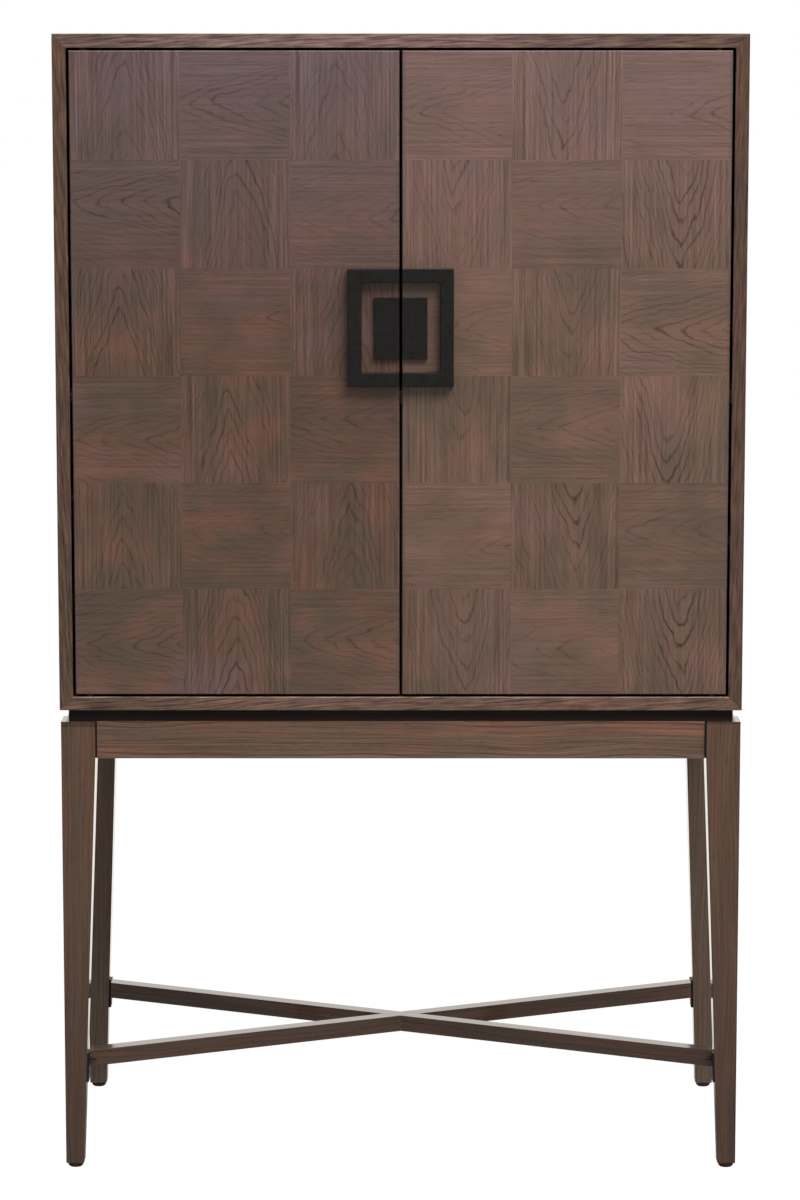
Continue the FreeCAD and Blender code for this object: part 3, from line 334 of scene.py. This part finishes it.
def chequer(name, first_x, first_column, upright_sign, palette, low_gain, figure):
    """A door's face of turned veneer squares under gloss lacquer; its edges and back are plain oak.
    The upright squares point up or down by the sign, the door's foot is lighter by the gain, and
    the figure sets how bold the grain is."""
    finish = Finish(name)
    x, y, z = finish.parts(finish.place)
    face = finish.less(y, DOOR_FACE + DOOR_SKIN)
    from_left = finish.add(x, -first_x)
    from_top = finish.maths("SUBTRACT", DOOR_TOP, z)
    column = square_number(finish, from_left, SQUARE_WIDTH, COLUMNS)
    row = square_number(finish, from_top, SQUARE_HEIGHT, ROWS)
    side = finish.maths("SUBTRACT", from_left, finish.times(finish.add(column, 0.5), SQUARE_WIDTH))
    up = finish.maths("SUBTRACT", finish.times(finish.add(row, 0.5), SQUARE_HEIGHT), from_top)
    lying = finish.maths("MODULO", finish.add(finish.add(column, first_column), row), 2.0)
    along = finish.mix(lying, finish.times(up, upright_sign), finish.times(side, -1.0))
    across = finish.mix(lying, side, up)
    square = finish.vector(finish.add(column, first_column), row, SQUARE_CHANCE)
    number, colours = finish.chance(square)
    off_centre, phase, strong = finish.parts(colours)
    deep = finish.times(number, SQUARE_STEP)
    # the nested arches of a flat-sawn board: pointed at the middle, straight at the sides
    wobble = finish.drawn_out(along, across, deep, 12.0, 24.0)
    jag = finish.drawn_out(along, across, deep, 45.0, 90.0)
    centre = finish.span(off_centre, 0.0, 1.0, -ARCH_SHIFT, ARCH_SHIFT)
    bend = finish.span(wobble, 0.2, 0.8, -ARCH_WAVER, ARCH_WAVER)
    reach = finish.distance(finish.add(finish.add(across, centre), bend))
    slope = finish.maths("POWER", finish.times(reach, 1 / SIDE_REACH), ARCH_POINT)
    arches = finish.add(finish.times(along, ARCHES), finish.times(slope, SIDE_ARCHES))
    arches = finish.add(arches, finish.times(phase, ARCH_START))
    arches = finish.add(arches, finish.span(jag, 0.2, 0.8, -ARCH_STRAY, ARCH_STRAY))
    # a door's edges and back are straight-grained
    plain = finish.times(finish.add(x, y), DOOR_RINGS)
    plain = finish.add(plain, finish.times(wobble, 3.0))
    along = finish.mix(face, z, along)
    across = finish.mix(face, finish.add(x, y), across)
    rings = finish.mix(face, plain, arches)
    bold = finish.times(
        finish.span(reach, 0.0, BOLD_REACH, 1.15, 0.6), finish.span(strong, 0.0, 1.0, 0.6, 1.2))
    bold = finish.times(bold, finish.mix(lying, 1.1 * figure, 0.8 * figure))
    bold = finish.mix(face, 0.5, bold)
    grain = oak_lines(finish, along, across, deep, rings, bold)
    colour = door_stain_and_sheen(finish, along, across, deep, palette)
    height = finish.add(z, finish.times(x, -0.2))
    colour = finish.shade(colour, finish.span(height, FOOT_LOW, FOOT_HIGH, low_gain, 1.0))
    own = finish.span(number, 0.0, 1.0, 0.95, 1.05)
    colour = finish.shade(colour, finish.mix(face, 0.9, own))
    streaks = finish.span(finish.distance(across), STREAKS_START, STREAKS_END, 0.14, 0.30)
    streaks = finish.times(streaks, finish.mix(lying, 1.2 * figure, 0.75 * figure))
    streaks = finish.mix(face, 0.2, streaks)
    # painted shade turns the face darker and greyer towards its upright edges, beside the gaps, and a
    # painted highlight lies along its eased top edge
    from_right = finish.add(DOOR_WIDTH, finish.times(from_left, -1.0))
    rim_shade = finish.maths("MINIMUM", from_left, from_right)
    rim_shade = finish.times(finish.span(rim_shade, RIM_START, RIM_END, 0.75, 0.0), face)
    colour = finish.blend(rim_shade, colour, RIM_SHADE_TONE)
    # a painted highlight along the door's eased top edge
    painted_highlight = finish.times(finish.less(from_top, DOOR_TOP_HIGHLIGHT), face)
    colour = finish.blend(finish.times(painted_highlight, 0.3), colour, DOOR_HIGHLIGHT_TONE)
    return wood_finish(finish, colour, grain, streaks)


def board(name, grain, seed, palette, *touches, turn=0.0, front=None, contrast=1.0, **lacquer):
    """A board or bar of oak with its grain along x, y or z of the piece, and then each touch in
    turn. A case board's front edge is a strip of its own, with short strokes that run off its
    length by the slope given, and are as strong as given."""
    finish = Finish(name)
    place = finish.turned(turn) if turn else finish.place
    x, y, z = finish.parts(place)
    along, across, third = {"x": (x, z, y), "y": (y, x, z), "z": (z, x, y)}[grain]
    drift = finish.drawn_out(along, across, finish.add(finish.times(third, 9.0), seed), 3.0, 9.0)
    across = finish.add(across, finish.times(third, RING_SLANT))
    across = finish.add(across, finish.span(drift, 0.2, 0.8, -RING_WAVER, RING_WAVER))
    stroke, streaks = 6.0, 0.25
    if front is not None:
        slope, front_streaks = front
        edge = finish.less(y, CASE_FRONT + BOARD_SKIN)
        across = finish.add(across, finish.times(finish.times(along, slope), edge))
        stroke, streaks = finish.mix(edge, 5.0, 24.0), finish.mix(edge, 0.2, front_streaks)
    rings = finish.add(finish.times(across, RINGS), finish.span(drift, 0.0, 1.0, 0.0, 3.0))
    lines = oak_lines(finish, along, across, seed, rings, 0.8, stroke)
    grey, warm, dusky = palette
    cloud = finish.drawn_out(along, across, seed, 4.5, 26.0, detail=3.0, roughness=0.6)
    colour = finish.blend(finish.span(cloud, 0.38, 0.62, smooth=True), grey, warm)
    patch = finish.drawn_out(along, across, seed + 3.0, 2.2, 8.0, detail=1.0)
    colour = finish.blend(finish.span(patch, 0.5, 0.75, 0.0, 0.7), colour, dusky)
    for touch in touches:
        colour = touch(finish, (x, y, z), colour)
    return wood_finish(finish, colour, lines, streaks, contrast, **lacquer)


def fading(left, right):
    """Colour that turns lighter or darker from the cabinet's left to its right."""
    def touch(finish, spot, colour):
        return finish.shade(colour, finish.span(spot[0], -HALF_WIDTH, HALF_WIDTH, left, right))
    return touch


def leg_shade_and_band(foot_shade, top_band):
    """Painted shade that darkens a leg towards its foot, and a darker band at the top of the leg."""
    def touch(finish, spot, colour):
        z = spot[2]
        # painted shade: the leg is darker towards its foot
        colour = finish.shade(colour, finish.span(z, LEG_SHADE_LOW, LEG_SHADE_HIGH, foot_shade, 1.0))
        # a darker band at the top of the leg
        low = LEG_TOP - top_band
        return finish.shade(colour, finish.span(z, low, low + TOP_BAND_EDGE, 1.0, 0.6))
    return touch


def sill_highlight(finish, spot, colour):
    """A painted highlight along the upper edge of the case's bottom, below the doors."""
    front = finish.less(spot[1], CASE_FRONT + SILL_SKIN)
    level = finish.less(finish.distance(finish.add(spot[2], -SILL)), SILL_HIGHLIGHT)
    painted_highlight = finish.times(front, level)
    return finish.blend(finish.times(painted_highlight, 0.45), colour, SILL_HIGHLIGHT_TONE)


def divider_gap_shade(finish, spot, colour):
    """Painted shade on the divider's front edge, which shows in the gap between the doors."""
    front = finish.less(spot[1], DIVIDER_FRONT + GAP_SHADE_SKIN)
    return finish.blend(front, colour, GAP_SHADE_TONE)


def apron_edges(finish, spot, colour):
    """An apron's eased lower edge is lighter and greyer, and its ends stand in a groove darkened by painted
    shade.
    """
    x, y, z = spot
    grey_arris = finish.span(z, APRON_FOOT + ARRIS_FULL, APRON_FOOT + ARRIS_END, 0.45, 0.0)
    grey_arris = finish.times(grey_arris, finish.less(y, APRON_FACE + APRON_SKIN))
    colour = finish.blend(grey_arris, colour, ARRIS_TONE)
    # painted shade in the grooves at the apron's ends
    groove_shade = finish.maths("GREATER_THAN", finish.distance(x), APRON_END)
    return finish.blend(groove_shade, colour, GROOVE_SHADE_TONE)


# ---------------------------------------------------------------- metals, glass and small parts
def lacquered_bronze(name):
    finish = Finish(name, gloss=0.2)
    mottle = finish.noise(finish.place, scale=160.0, detail=4.0, roughness=0.65)
    grain = finish.noise(finish.place, scale=2600.0)
    colour = finish.blend(finish.span(mottle, 0.35, 0.7), tone(28, 25, 26), tone(35, 31, 31))
    return finish.done(colour, finish.span(mottle, 0.3, 0.7, 0.3, 0.46), grain, 0.00002)


def worked_metal(name, colour, other, roughness):
    """Plated or polished metal with the fine level lines of its making."""
    finish = Finish(name, metal=1.0)
    x, y, z = finish.parts(finish.place)
    lines = finish.vector(finish.times(x, 40.0), finish.times(y, 40.0), finish.times(z, 2400.0))
    lines = finish.noise(lines, detail=3.0)
    cloud = finish.noise(finish.place, scale=70.0, detail=3.0)
    return finish.done(
        finish.blend(finish.span(cloud, 0.35, 0.65), colour, other),
        finish.span(lines, 0.3, 0.7, roughness - 0.08, roughness + 0.12), lines, 0.00002)


def moulded(name, colour, other, roughness):
    finish = Finish(name, gloss=0.35)
    pebble = finish.noise(finish.place, scale=900.0, detail=3.0)
    cloud = finish.noise(finish.place, scale=55.0)
    return finish.done(
        finish.blend(finish.span(cloud, 0.35, 0.65), colour, other),
        finish.span(pebble, 0.3, 0.7, roughness - 0.08, roughness + 0.1), pebble, 0.00005)


def silvered_glass(name):
    finish = Finish(name, metal=1.0)
    haze = finish.noise(finish.place, scale=9.0, detail=3.0)
    return finish.done(
        finish.blend(haze, tone(226, 228, 229), tone(236, 238, 238)),
        finish.span(haze, 0.3, 0.7, 0.02, 0.05))


def dress(material, *names):
    """Gives the CAD nodes of these names one finish."""
    for name in names:
        materials = nodes[name].data.materials
        for index in range(len(materials)):
            materials[index] = material


# the tones of each stain: grey, warm and dusky, and a door's rust
LEFT_TONES = (tone(83, 67, 56), tone(96, 69, 57), tone(100, 82, 84), tone(108, 70, 57))
RIGHT_TONES = (tone(96, 78, 66), tone(109, 82, 69), tone(112, 88, 84), tone(118, 84, 70))
TOP_TONES = (tone(92, 73, 64), tone(104, 79, 69), tone(130, 106, 103))
BOTTOM_TONES = (tone(92, 71, 59), tone(104, 75, 63), tone(108, 85, 75))
LEFT_SIDE_TONES = (tone(81, 64, 52), tone(89, 65, 52), tone(90, 73, 62))
RIGHT_SIDE_TONES = (tone(77, 60, 50), tone(86, 61, 50), tone(86, 67, 58))
APRON_TONES = (tone(98, 76, 62), tone(114, 80, 64), tone(108, 88, 78))
LEG_TONES = (tone(85, 66, 53), tone(95, 67, 53), tone(90, 70, 59))
BAR_TONES = (tone(66, 51, 41), tone(74, 53, 42), tone(68, 53, 44))
REAR_TONES = (tone(84, 69, 55), tone(90, 69, 55), tone(86, 71, 59))
PLINTH_TONES = (tone(29, 18, 13), tone(36, 22, 15), tone(32, 22, 17))
PALE_TONES = (tone(176, 142, 104), tone(188, 150, 108), tone(170, 140, 108))
BLOCK_TONES = (tone(186, 158, 116), tone(196, 166, 122), tone(180, 150, 112))
# the tones of painted shade by a door's gaps, of painted highlights on a door's top edge and the sill, of an
# apron's grey lower edge, and of painted shade on the divider's front and in the apron's grooves
RIM_SHADE_TONE = tone(86, 73, 68)
DOOR_HIGHLIGHT_TONE = tone(168, 146, 136)
SILL_HIGHLIGHT_TONE = tone(168, 146, 132)
GAP_SHADE_TONE = tone(44, 33, 27)
ARRIS_TONE = tone(106, 98, 94)
GROOVE_SHADE_TONE = tone(14, 10, 8)

# wood that isn't lacquered
OILED = {"contrast": 0.55, "roughness": 0.4, "coat": 0.0}
PAINTED = {"roughness": 0.45, "coat": 0.0}
RAW = {"contrast": 0.5, "roughness": 0.7, "coat": 0.0}
# the stretcher's bars are smoother than the boards
SMOOTH = {"depth": 0.00003}

FINISHES = (
    (chequer("left_veneer", -DOOR_EDGE - DOOR_WIDTH, 0, 1.0, LEFT_TONES, 1.16, 1.05),
     "left_door_panel"),
    (chequer("right_veneer", DOOR_EDGE, COLUMNS, -1.0, RIGHT_TONES, 1.0, 1.0), "right_door_panel"),
    (board("case_top_oak", "x", 2.0, TOP_TONES, fading(1.14, 0.86), front=(-0.05, 0.75)),
     "case_top"),
    (board("case_bottom_oak", "x", 5.0, BOTTOM_TONES, fading(0.98, 1.17), sill_highlight,
           front=(-0.1, 0.5), contrast=1.3), "case_bottom"),
    (board("case_left_oak", "z", 7.0, LEFT_SIDE_TONES, front=(0.06, 0.6)), "case_left_side"),
    (board("case_right_oak", "z", 11.0, RIGHT_SIDE_TONES, front=(-0.05, 0.52)), "case_right_side"),
    (board("front_left_leg_oak", "z", 13.0, LEG_TONES, leg_shade_and_band(0.62, 0.0078)), "front_left_leg"),
    (board("front_right_leg_oak", "z", 16.0, LEG_TONES, leg_shade_and_band(0.58, 0.004)), "front_right_leg"),
    (board("rear_left_leg_oak", "z", 23.0, REAR_TONES), "rear_left_leg"),
    (board("rear_right_leg_oak", "z", 26.0, REAR_TONES), "rear_right_leg"),
    (board("apron_oak", "x", 31.0, APRON_TONES, fading(0.92, 1.12), apron_edges, contrast=1.35),
     "front_apron", "rear_apron"),
    (board("side_apron_oak", "y", 33.0, APRON_TONES), "left_apron", "right_apron"),
    (board("stretcher_a_oak", "x", 41.0, BAR_TONES, turn=-25.0, **SMOOTH), "stretcher_bar_a"),
    (board("stretcher_b_oak", "x", 43.0, BAR_TONES, turn=25.0, **SMOOTH), "stretcher_bar_b"),
    (board("plinth_wood", "x", 51.0, PLINTH_TONES, **PAINTED),
     "plinth_front_rail", "plinth_rear_rail"),
    (board("plinth_side_wood", "y", 53.0, PLINTH_TONES, **PAINTED), "plinth_side_rails"),
    (board("shelf_oak", "x", 61.0, PALE_TONES, **OILED),
     "counter_shelf", "lower_shelf", "left_leaf", "right_leaf", "stemware_rails"),
    (board("back_oak", "z", 63.0, PALE_TONES, **OILED), "back_panel", "mirror_stile"),
    (board("divider_oak", "z", 65.0, PALE_TONES, divider_gap_shade, **OILED), "centre_divider"),
    (board("rack_oak", "x", 67.0, PALE_TONES, **OILED), "bottle_rack"),
    (board("block_hardwood", "z", 71.0, BLOCK_TONES, **RAW), "corner_blocks", "plinth_blocks"),
    (worked_metal("plated_steel", tone(196, 197, 200), tone(182, 183, 186), 0.3),
     "back_panel_screws", "case_bolts", "case_hinge_screws", "left_door_screws",
     "right_door_screws", "left_strike_plate", "right_strike_plate", "shelf_pins"),
    (worked_metal("satin_brass", tone(204, 168, 102), tone(190, 152, 90), 0.32),
     "counter_hinge_plates", "leaf_hinge_pins", "left_leaf_hinge_plates",
     "right_leaf_hinge_plates", "left_leaf_screws", "right_leaf_screws"),
    (moulded("glide_plastic", tone(46, 31, 26), tone(52, 36, 30), 0.5), "foot_glides"),
    (moulded("bumper_rubber", tone(24, 24, 24), tone(30, 30, 30), 0.75), "leaf_bumpers"),
    (moulded("catch_plastic", tone(70, 52, 42), tone(62, 46, 38), 0.5), "magnetic_catches"),
    (silvered_glass("silvered_glass"), "mirror_panes"))
for material, *names in FINISHES:
    dress(material, *names)

bronze = lacquered_bronze("pull_bronze")
dress(bronze, "left_handle_frame", "right_handle_frame", "left_handle_plate", "right_handle_plate",
      "stretcher_straps", "stretcher_screws", "case_pivot_plates", "case_pivot_pins",
      "left_door_pivot_plates", "right_door_pivot_plates")


# ---------------------------------------------------------------- button-head screws of the pulls
HEAD_HEIGHT = 0.0022
HEAD_SIZES = {
    "Head radius": 0.0044, "Head height": HEAD_HEIGHT, "Head edge": 0.0007,
    "Socket width": 0.0029, "Socket depth": 0.0015, "Shank radius": 0.0019}
# corners nearer to each other than this, across the shafts, belong to one screw
SHAFT_SPREAD = 0.01
# how far a shank stops short of the plain screw's tip
SHANK_SHY = 0.0001
SHARP_EDGE = math.radians(35)


def button_screw_tree():
    """Puts a domed screw with a hexagon socket on every vertex, its shank as long as it says."""
    tree = bpy.data.node_groups.new("button_screws", "GeometryNodeTree")
    tree.interface.new_socket("Spots", in_out="INPUT", socket_type="NodeSocketGeometry")
    for label, size in HEAD_SIZES.items():
        made = tree.interface.new_socket(label, in_out="INPUT", socket_type="NodeSocketFloat")
        made.default_value = size
    tree.interface.new_socket("Finish", in_out="INPUT", socket_type="NodeSocketMaterial")
    tree.interface.new_socket("Screws", in_out="OUTPUT", socket_type="NodeSocketGeometry")
    work = Nodes(tree)
    given = work.node("NodeGroupInput").outputs
    radius, height, edge = given["Head radius"], given["Head height"], given["Head edge"]

    def solid(kind, sizes, lift):
        made = work.node(kind)
        for label, value in sizes.items():
            work.feed(made.inputs[label], value)
        moved = work.node("GeometryNodeTransform")
        work.feed(moved.inputs["Geometry"], made.outputs["Mesh"])
        work.feed(moved.inputs["Translation"], work.vector(0.0, 0.0, lift))
        return moved.outputs[0]

    def placed(instance, scale):
        made = work.node("GeometryNodeInstanceOnPoints")
        for label, value in (("Points", given["Spots"]), ("Instance", instance), ("Scale", scale)):
            work.feed(made.inputs[label], value)
        made.inputs["Rotation"].default_value = (-math.pi / 2, 0.0, 0.0)
        return made.outputs[0]

    # the dome is the part of a ball that stands above the head's edge, and within its radius
    rise = work.maths("SUBTRACT", height, edge)
    chord = work.add(work.times(radius, radius), work.times(rise, rise))
    ball = work.maths("DIVIDE", chord, work.times(rise, 2.0))
    dome = solid("GeometryNodeMeshUVSphere", {"Segments": 48, "Rings": 48, "Radius": ball},
                 work.maths("SUBTRACT", height, ball))
    blank = solid("GeometryNodeMeshCylinder", {"Vertices": 48, "Radius": radius, "Depth": height},
                  work.times(height, 0.5))
    corner = work.times(given["Socket width"], 1 / math.sqrt(3))
    depth = work.times(given["Socket depth"], 2.0)
    socket = solid("GeometryNodeMeshCylinder", {"Vertices": 6, "Radius": corner, "Depth": depth},
                   height)
    head = work.node("GeometryNodeMeshBoolean", operation="INTERSECT", solver="EXACT")
    for shell in (dome, blank):
        tree.links.new(shell, head.inputs["Mesh 2"])
    cut = work.node("GeometryNodeMeshBoolean", operation="DIFFERENCE", solver="EXACT")
    tree.links.new(head.outputs[0], cut.inputs["Mesh 1"])
    tree.links.new(socket, cut.inputs["Mesh 2"])
    shank = solid("GeometryNodeMeshCylinder",
                  {"Vertices": 20, "Radius": given["Shank radius"], "Depth": 1.0}, -0.5)
    reach = work.node("GeometryNodeInputNamedAttribute", data_type="FLOAT")
    reach.inputs["Name"].default_value = "reach"
    joined = work.node("GeometryNodeJoinGeometry")
    for instance, scale in ((cut.outputs[0], (1.0, 1.0, 1.0)),
                            (shank, work.vector(1.0, 1.0, reach.outputs[0]))):
        tree.links.new(placed(instance, scale), joined.inputs[0])
    real = work.node("GeometryNodeRealizeInstances")
    tree.links.new(joined.outputs[0], real.inputs[0])
    dressed = work.node("GeometryNodeSetMaterial")
    tree.links.new(real.outputs[0], dressed.inputs["Geometry"])
    tree.links.new(given["Finish"], dressed.inputs["Material"])
    tree.links.new(dressed.outputs[0], work.node("NodeGroupOutput").inputs[0])
    return tree


def shafts_of(node):
    """The corners of a node's shafts, which all run along y, kept apart shaft by shaft."""
    shafts = []
    for corner in (vertex.co for vertex in nodes[node].data.vertices):
        for shaft in shafts:
            across = max(abs(corner.x - shaft[0].x), abs(corner.z - shaft[0].z))
            if across < SHAFT_SPREAD:
                shaft.append(corner)
                break
        else:
            shafts.append([corner])
    return shafts


def make_button_screws(tree, node, name, body, material):
    """Detailed screws where a CAD node holds plain ones, with their heads at the back."""
    spots, reaches = [], []
    for shaft in shafts_of(node):
        low, high = ([pick(corner[axis] for corner in shaft) for axis in range(3)]
                     for pick in (min, max))
        under = high[1] - HEAD_HEIGHT
        spots.append(((low[0] + high[0]) / 2, under, (low[2] + high[2]) / 2))
        reaches.append(under - low[1] - SHANK_SHY)
    mesh = bpy.data.meshes.new(name + "_spots")
    mesh.from_pydata(spots, [], [])
    mesh.attributes.new("reach", "FLOAT", "POINT").data.foreach_set("value", reaches)
    carrier = bpy.data.objects.new(name + "_spots", mesh)
    bpy.context.collection.objects.link(carrier)
    screws = carrier.modifiers.new("screws", "NODES")
    screws.node_group = tree
    for socket in tree.interface.items_tree:
        if socket.in_out == "INPUT" and socket.name in HEAD_SIZES:
            screws[socket.identifier] = HEAD_SIZES[socket.name]
        elif socket.name == "Finish":
            screws[socket.identifier] = material
    seen = carrier.evaluated_get(bpy.context.evaluated_depsgraph_get())
    made = bpy.data.meshes.new_from_object(seen)
    bpy.data.objects.remove(carrier)
    made.materials.clear()
    made.materials.append(material)
    made.polygons.foreach_set("material_index", [0] * len(made.polygons))
    made.shade_smooth()
    made.set_sharp_from_angle(angle=SHARP_EDGE)
    piece = bpy.data.objects.new(name, made)
    bpy.context.collection.objects.link(piece)
    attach(piece, body)
    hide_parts(node)


button_tree = button_screw_tree()
for word in ("left", "right"):
    make_button_screws(button_tree, word + "_handle_screws", word + "_button_screws", word + "_door", bronze)


# ---------------------------------------------------------------- studio
WHITE = (1.0, 1.0, 1.0, 1.0)
WARM_WHITE = (1.0, 0.955, 0.895, 1.0)
# the strength of the even light
FILL = 0.42
FLOOR_HALF = 9.0
FLOOR_FRONT = 0.75
FLOOR_GREY = (0.55, 0.55, 0.55, 1.0)
FLOOR_GLOW = 1.06
# how much of the floor is glow where it is seen; the rest takes the cabinet's shadow
FLOOR_SHARE = 0.93
# what polished faces see of the room beside and behind the cabinet: from where to where it
# changes, and how bright it is at either end
ROOM_BESIDE = (0.14, 0.4, 1.0, 0.42)
ROOM_BEHIND = (0.2, 0.95, 0.15, 1.0)
FLOOR_BESIDE = (0.6, 1.3, 1.0, 0.35)
FLOOR_BEHIND = (0.1, 0.7, 0.12, FLOOR_GLOW)
AIM = (0.0, -0.2, 0.8)
SENSOR = 36.0
LENS = 119.196
CAMERA_PLACE = (0.00526, -5.3798, 1.52196)
CAMERA_DOWN = 0.1443
CAMERA_ROLL = 0.0012


def make_world():
    """Even white light; what polished faces see is white behind the cabinet, and dimmer before
    and beside it."""
    world = bpy.data.worlds.new("studio")
    world.use_nodes = True
    studio = Nodes(world.node_tree)
    light = studio.tree.nodes["Background"]
    path = studio.node("ShaderNodeLightPath").outputs
    x, y = studio.parts(studio.node("ShaderNodeTexCoord").outputs["Generated"])[:2]
    beside = studio.span(studio.distance(x), *ROOM_BESIDE)
    mirrored = studio.times(studio.span(y, *ROOM_BEHIND), beside)
    shown = studio.maths("MAXIMUM", path["Is Camera Ray"], path["Is Transmission Ray"])
    lit = studio.mix(path["Is Glossy Ray"], FILL, mirrored)
    studio.feed(light.inputs["Strength"], studio.mix(shown, lit, 1.0))
    studio.feed(light.inputs["Color"], studio.blend(path["Is Glossy Ray"], WHITE, WARM_WHITE))
    bpy.context.scene.world = world


def make_floor():
    """A white floor that keeps the cabinet's shadow; polished faces see it dimmer before and
    beside the cabinet."""
    mesh = bpy.data.meshes.new("floor")
    corners = [(-FLOOR_HALF, -FLOOR_FRONT), (FLOOR_HALF, -FLOOR_FRONT),
               (FLOOR_HALF, FLOOR_HALF), (-FLOOR_HALF, FLOOR_HALF)]
    mesh.from_pydata([(x, y, 0.0) for x, y in corners], [], [(0, 1, 2, 3)])
    floor = bpy.data.objects.new("floor", mesh)
    bpy.context.collection.objects.link(floor)
    paint = Finish("floor_white", gloss=0.0)
    paint.shader.inputs["Base Color"].default_value = FLOOR_GREY
    paint.shader.inputs["Roughness"].default_value = 0.9
    path = paint.node("ShaderNodeLightPath").outputs
    shown = paint.maths("MAXIMUM", path["Is Camera Ray"], path["Is Glossy Ray"])
    shown = paint.maths("MAXIMUM", shown, path["Is Transmission Ray"])
    shown = paint.times(shown, FLOOR_SHARE)
    x, y = paint.parts(paint.place)[:2]
    beside = paint.span(paint.distance(x), *FLOOR_BESIDE)
    mirrored = paint.times(paint.span(y, *FLOOR_BEHIND), beside)
    glow = paint.node("ShaderNodeEmission")
    paint.feed(glow.inputs["Strength"], paint.mix(path["Is Glossy Ray"], FLOOR_GLOW, mirrored))
    paint.feed(glow.inputs["Color"], paint.blend(path["Is Glossy Ray"], WHITE, WARM_WHITE))
    mixed = paint.node("ShaderNodeMixShader")
    for socket, value in zip(mixed.inputs, (shown, paint.shader.outputs[0], glow.outputs[0])):
        paint.feed(socket, value)
    paint.feed(paint.tree.nodes["Material Output"].inputs[0], mixed.outputs[0])
    mesh.materials.append(paint.material)


def make_lamp(name, place, size, power, mirrored):
    data = bpy.data.lights.new(name, "AREA")
    data.shape = "RECTANGLE"
    data.size, data.size_y = size
    data.energy = power
    lamp = bpy.data.objects.new(name, data)
    lamp.location = place
    lamp.visible_glossy = mirrored
    lamp.rotation_euler = (Vector(AIM) - Vector(place)).to_track_quat("-Z", "Y").to_euler()
    bpy.context.collection.objects.link(lamp)


def make_camera():
    data = bpy.data.cameras.new("camera")
    data.sensor_width = SENSOR
    data.lens = LENS
    camera = bpy.data.objects.new("camera", data)
    camera.location = CAMERA_PLACE
    camera.rotation_euler = Euler((math.pi / 2 - CAMERA_DOWN, 0.0, CAMERA_ROLL))
    bpy.context.collection.objects.link(camera)
    bpy.context.scene.camera = camera


make_world()
make_floor()
make_lamp("key", place=(2.4, -3.4, 5.6), size=(4.0, 3.0), power=520.0, mirrored=True)
make_lamp("overhead", place=(-0.6, -0.75, 6.0), size=(1.8, 0.5), power=120.0, mirrored=False)
make_camera()
bpy.context.scene.view_settings.view_transform = "Standard"
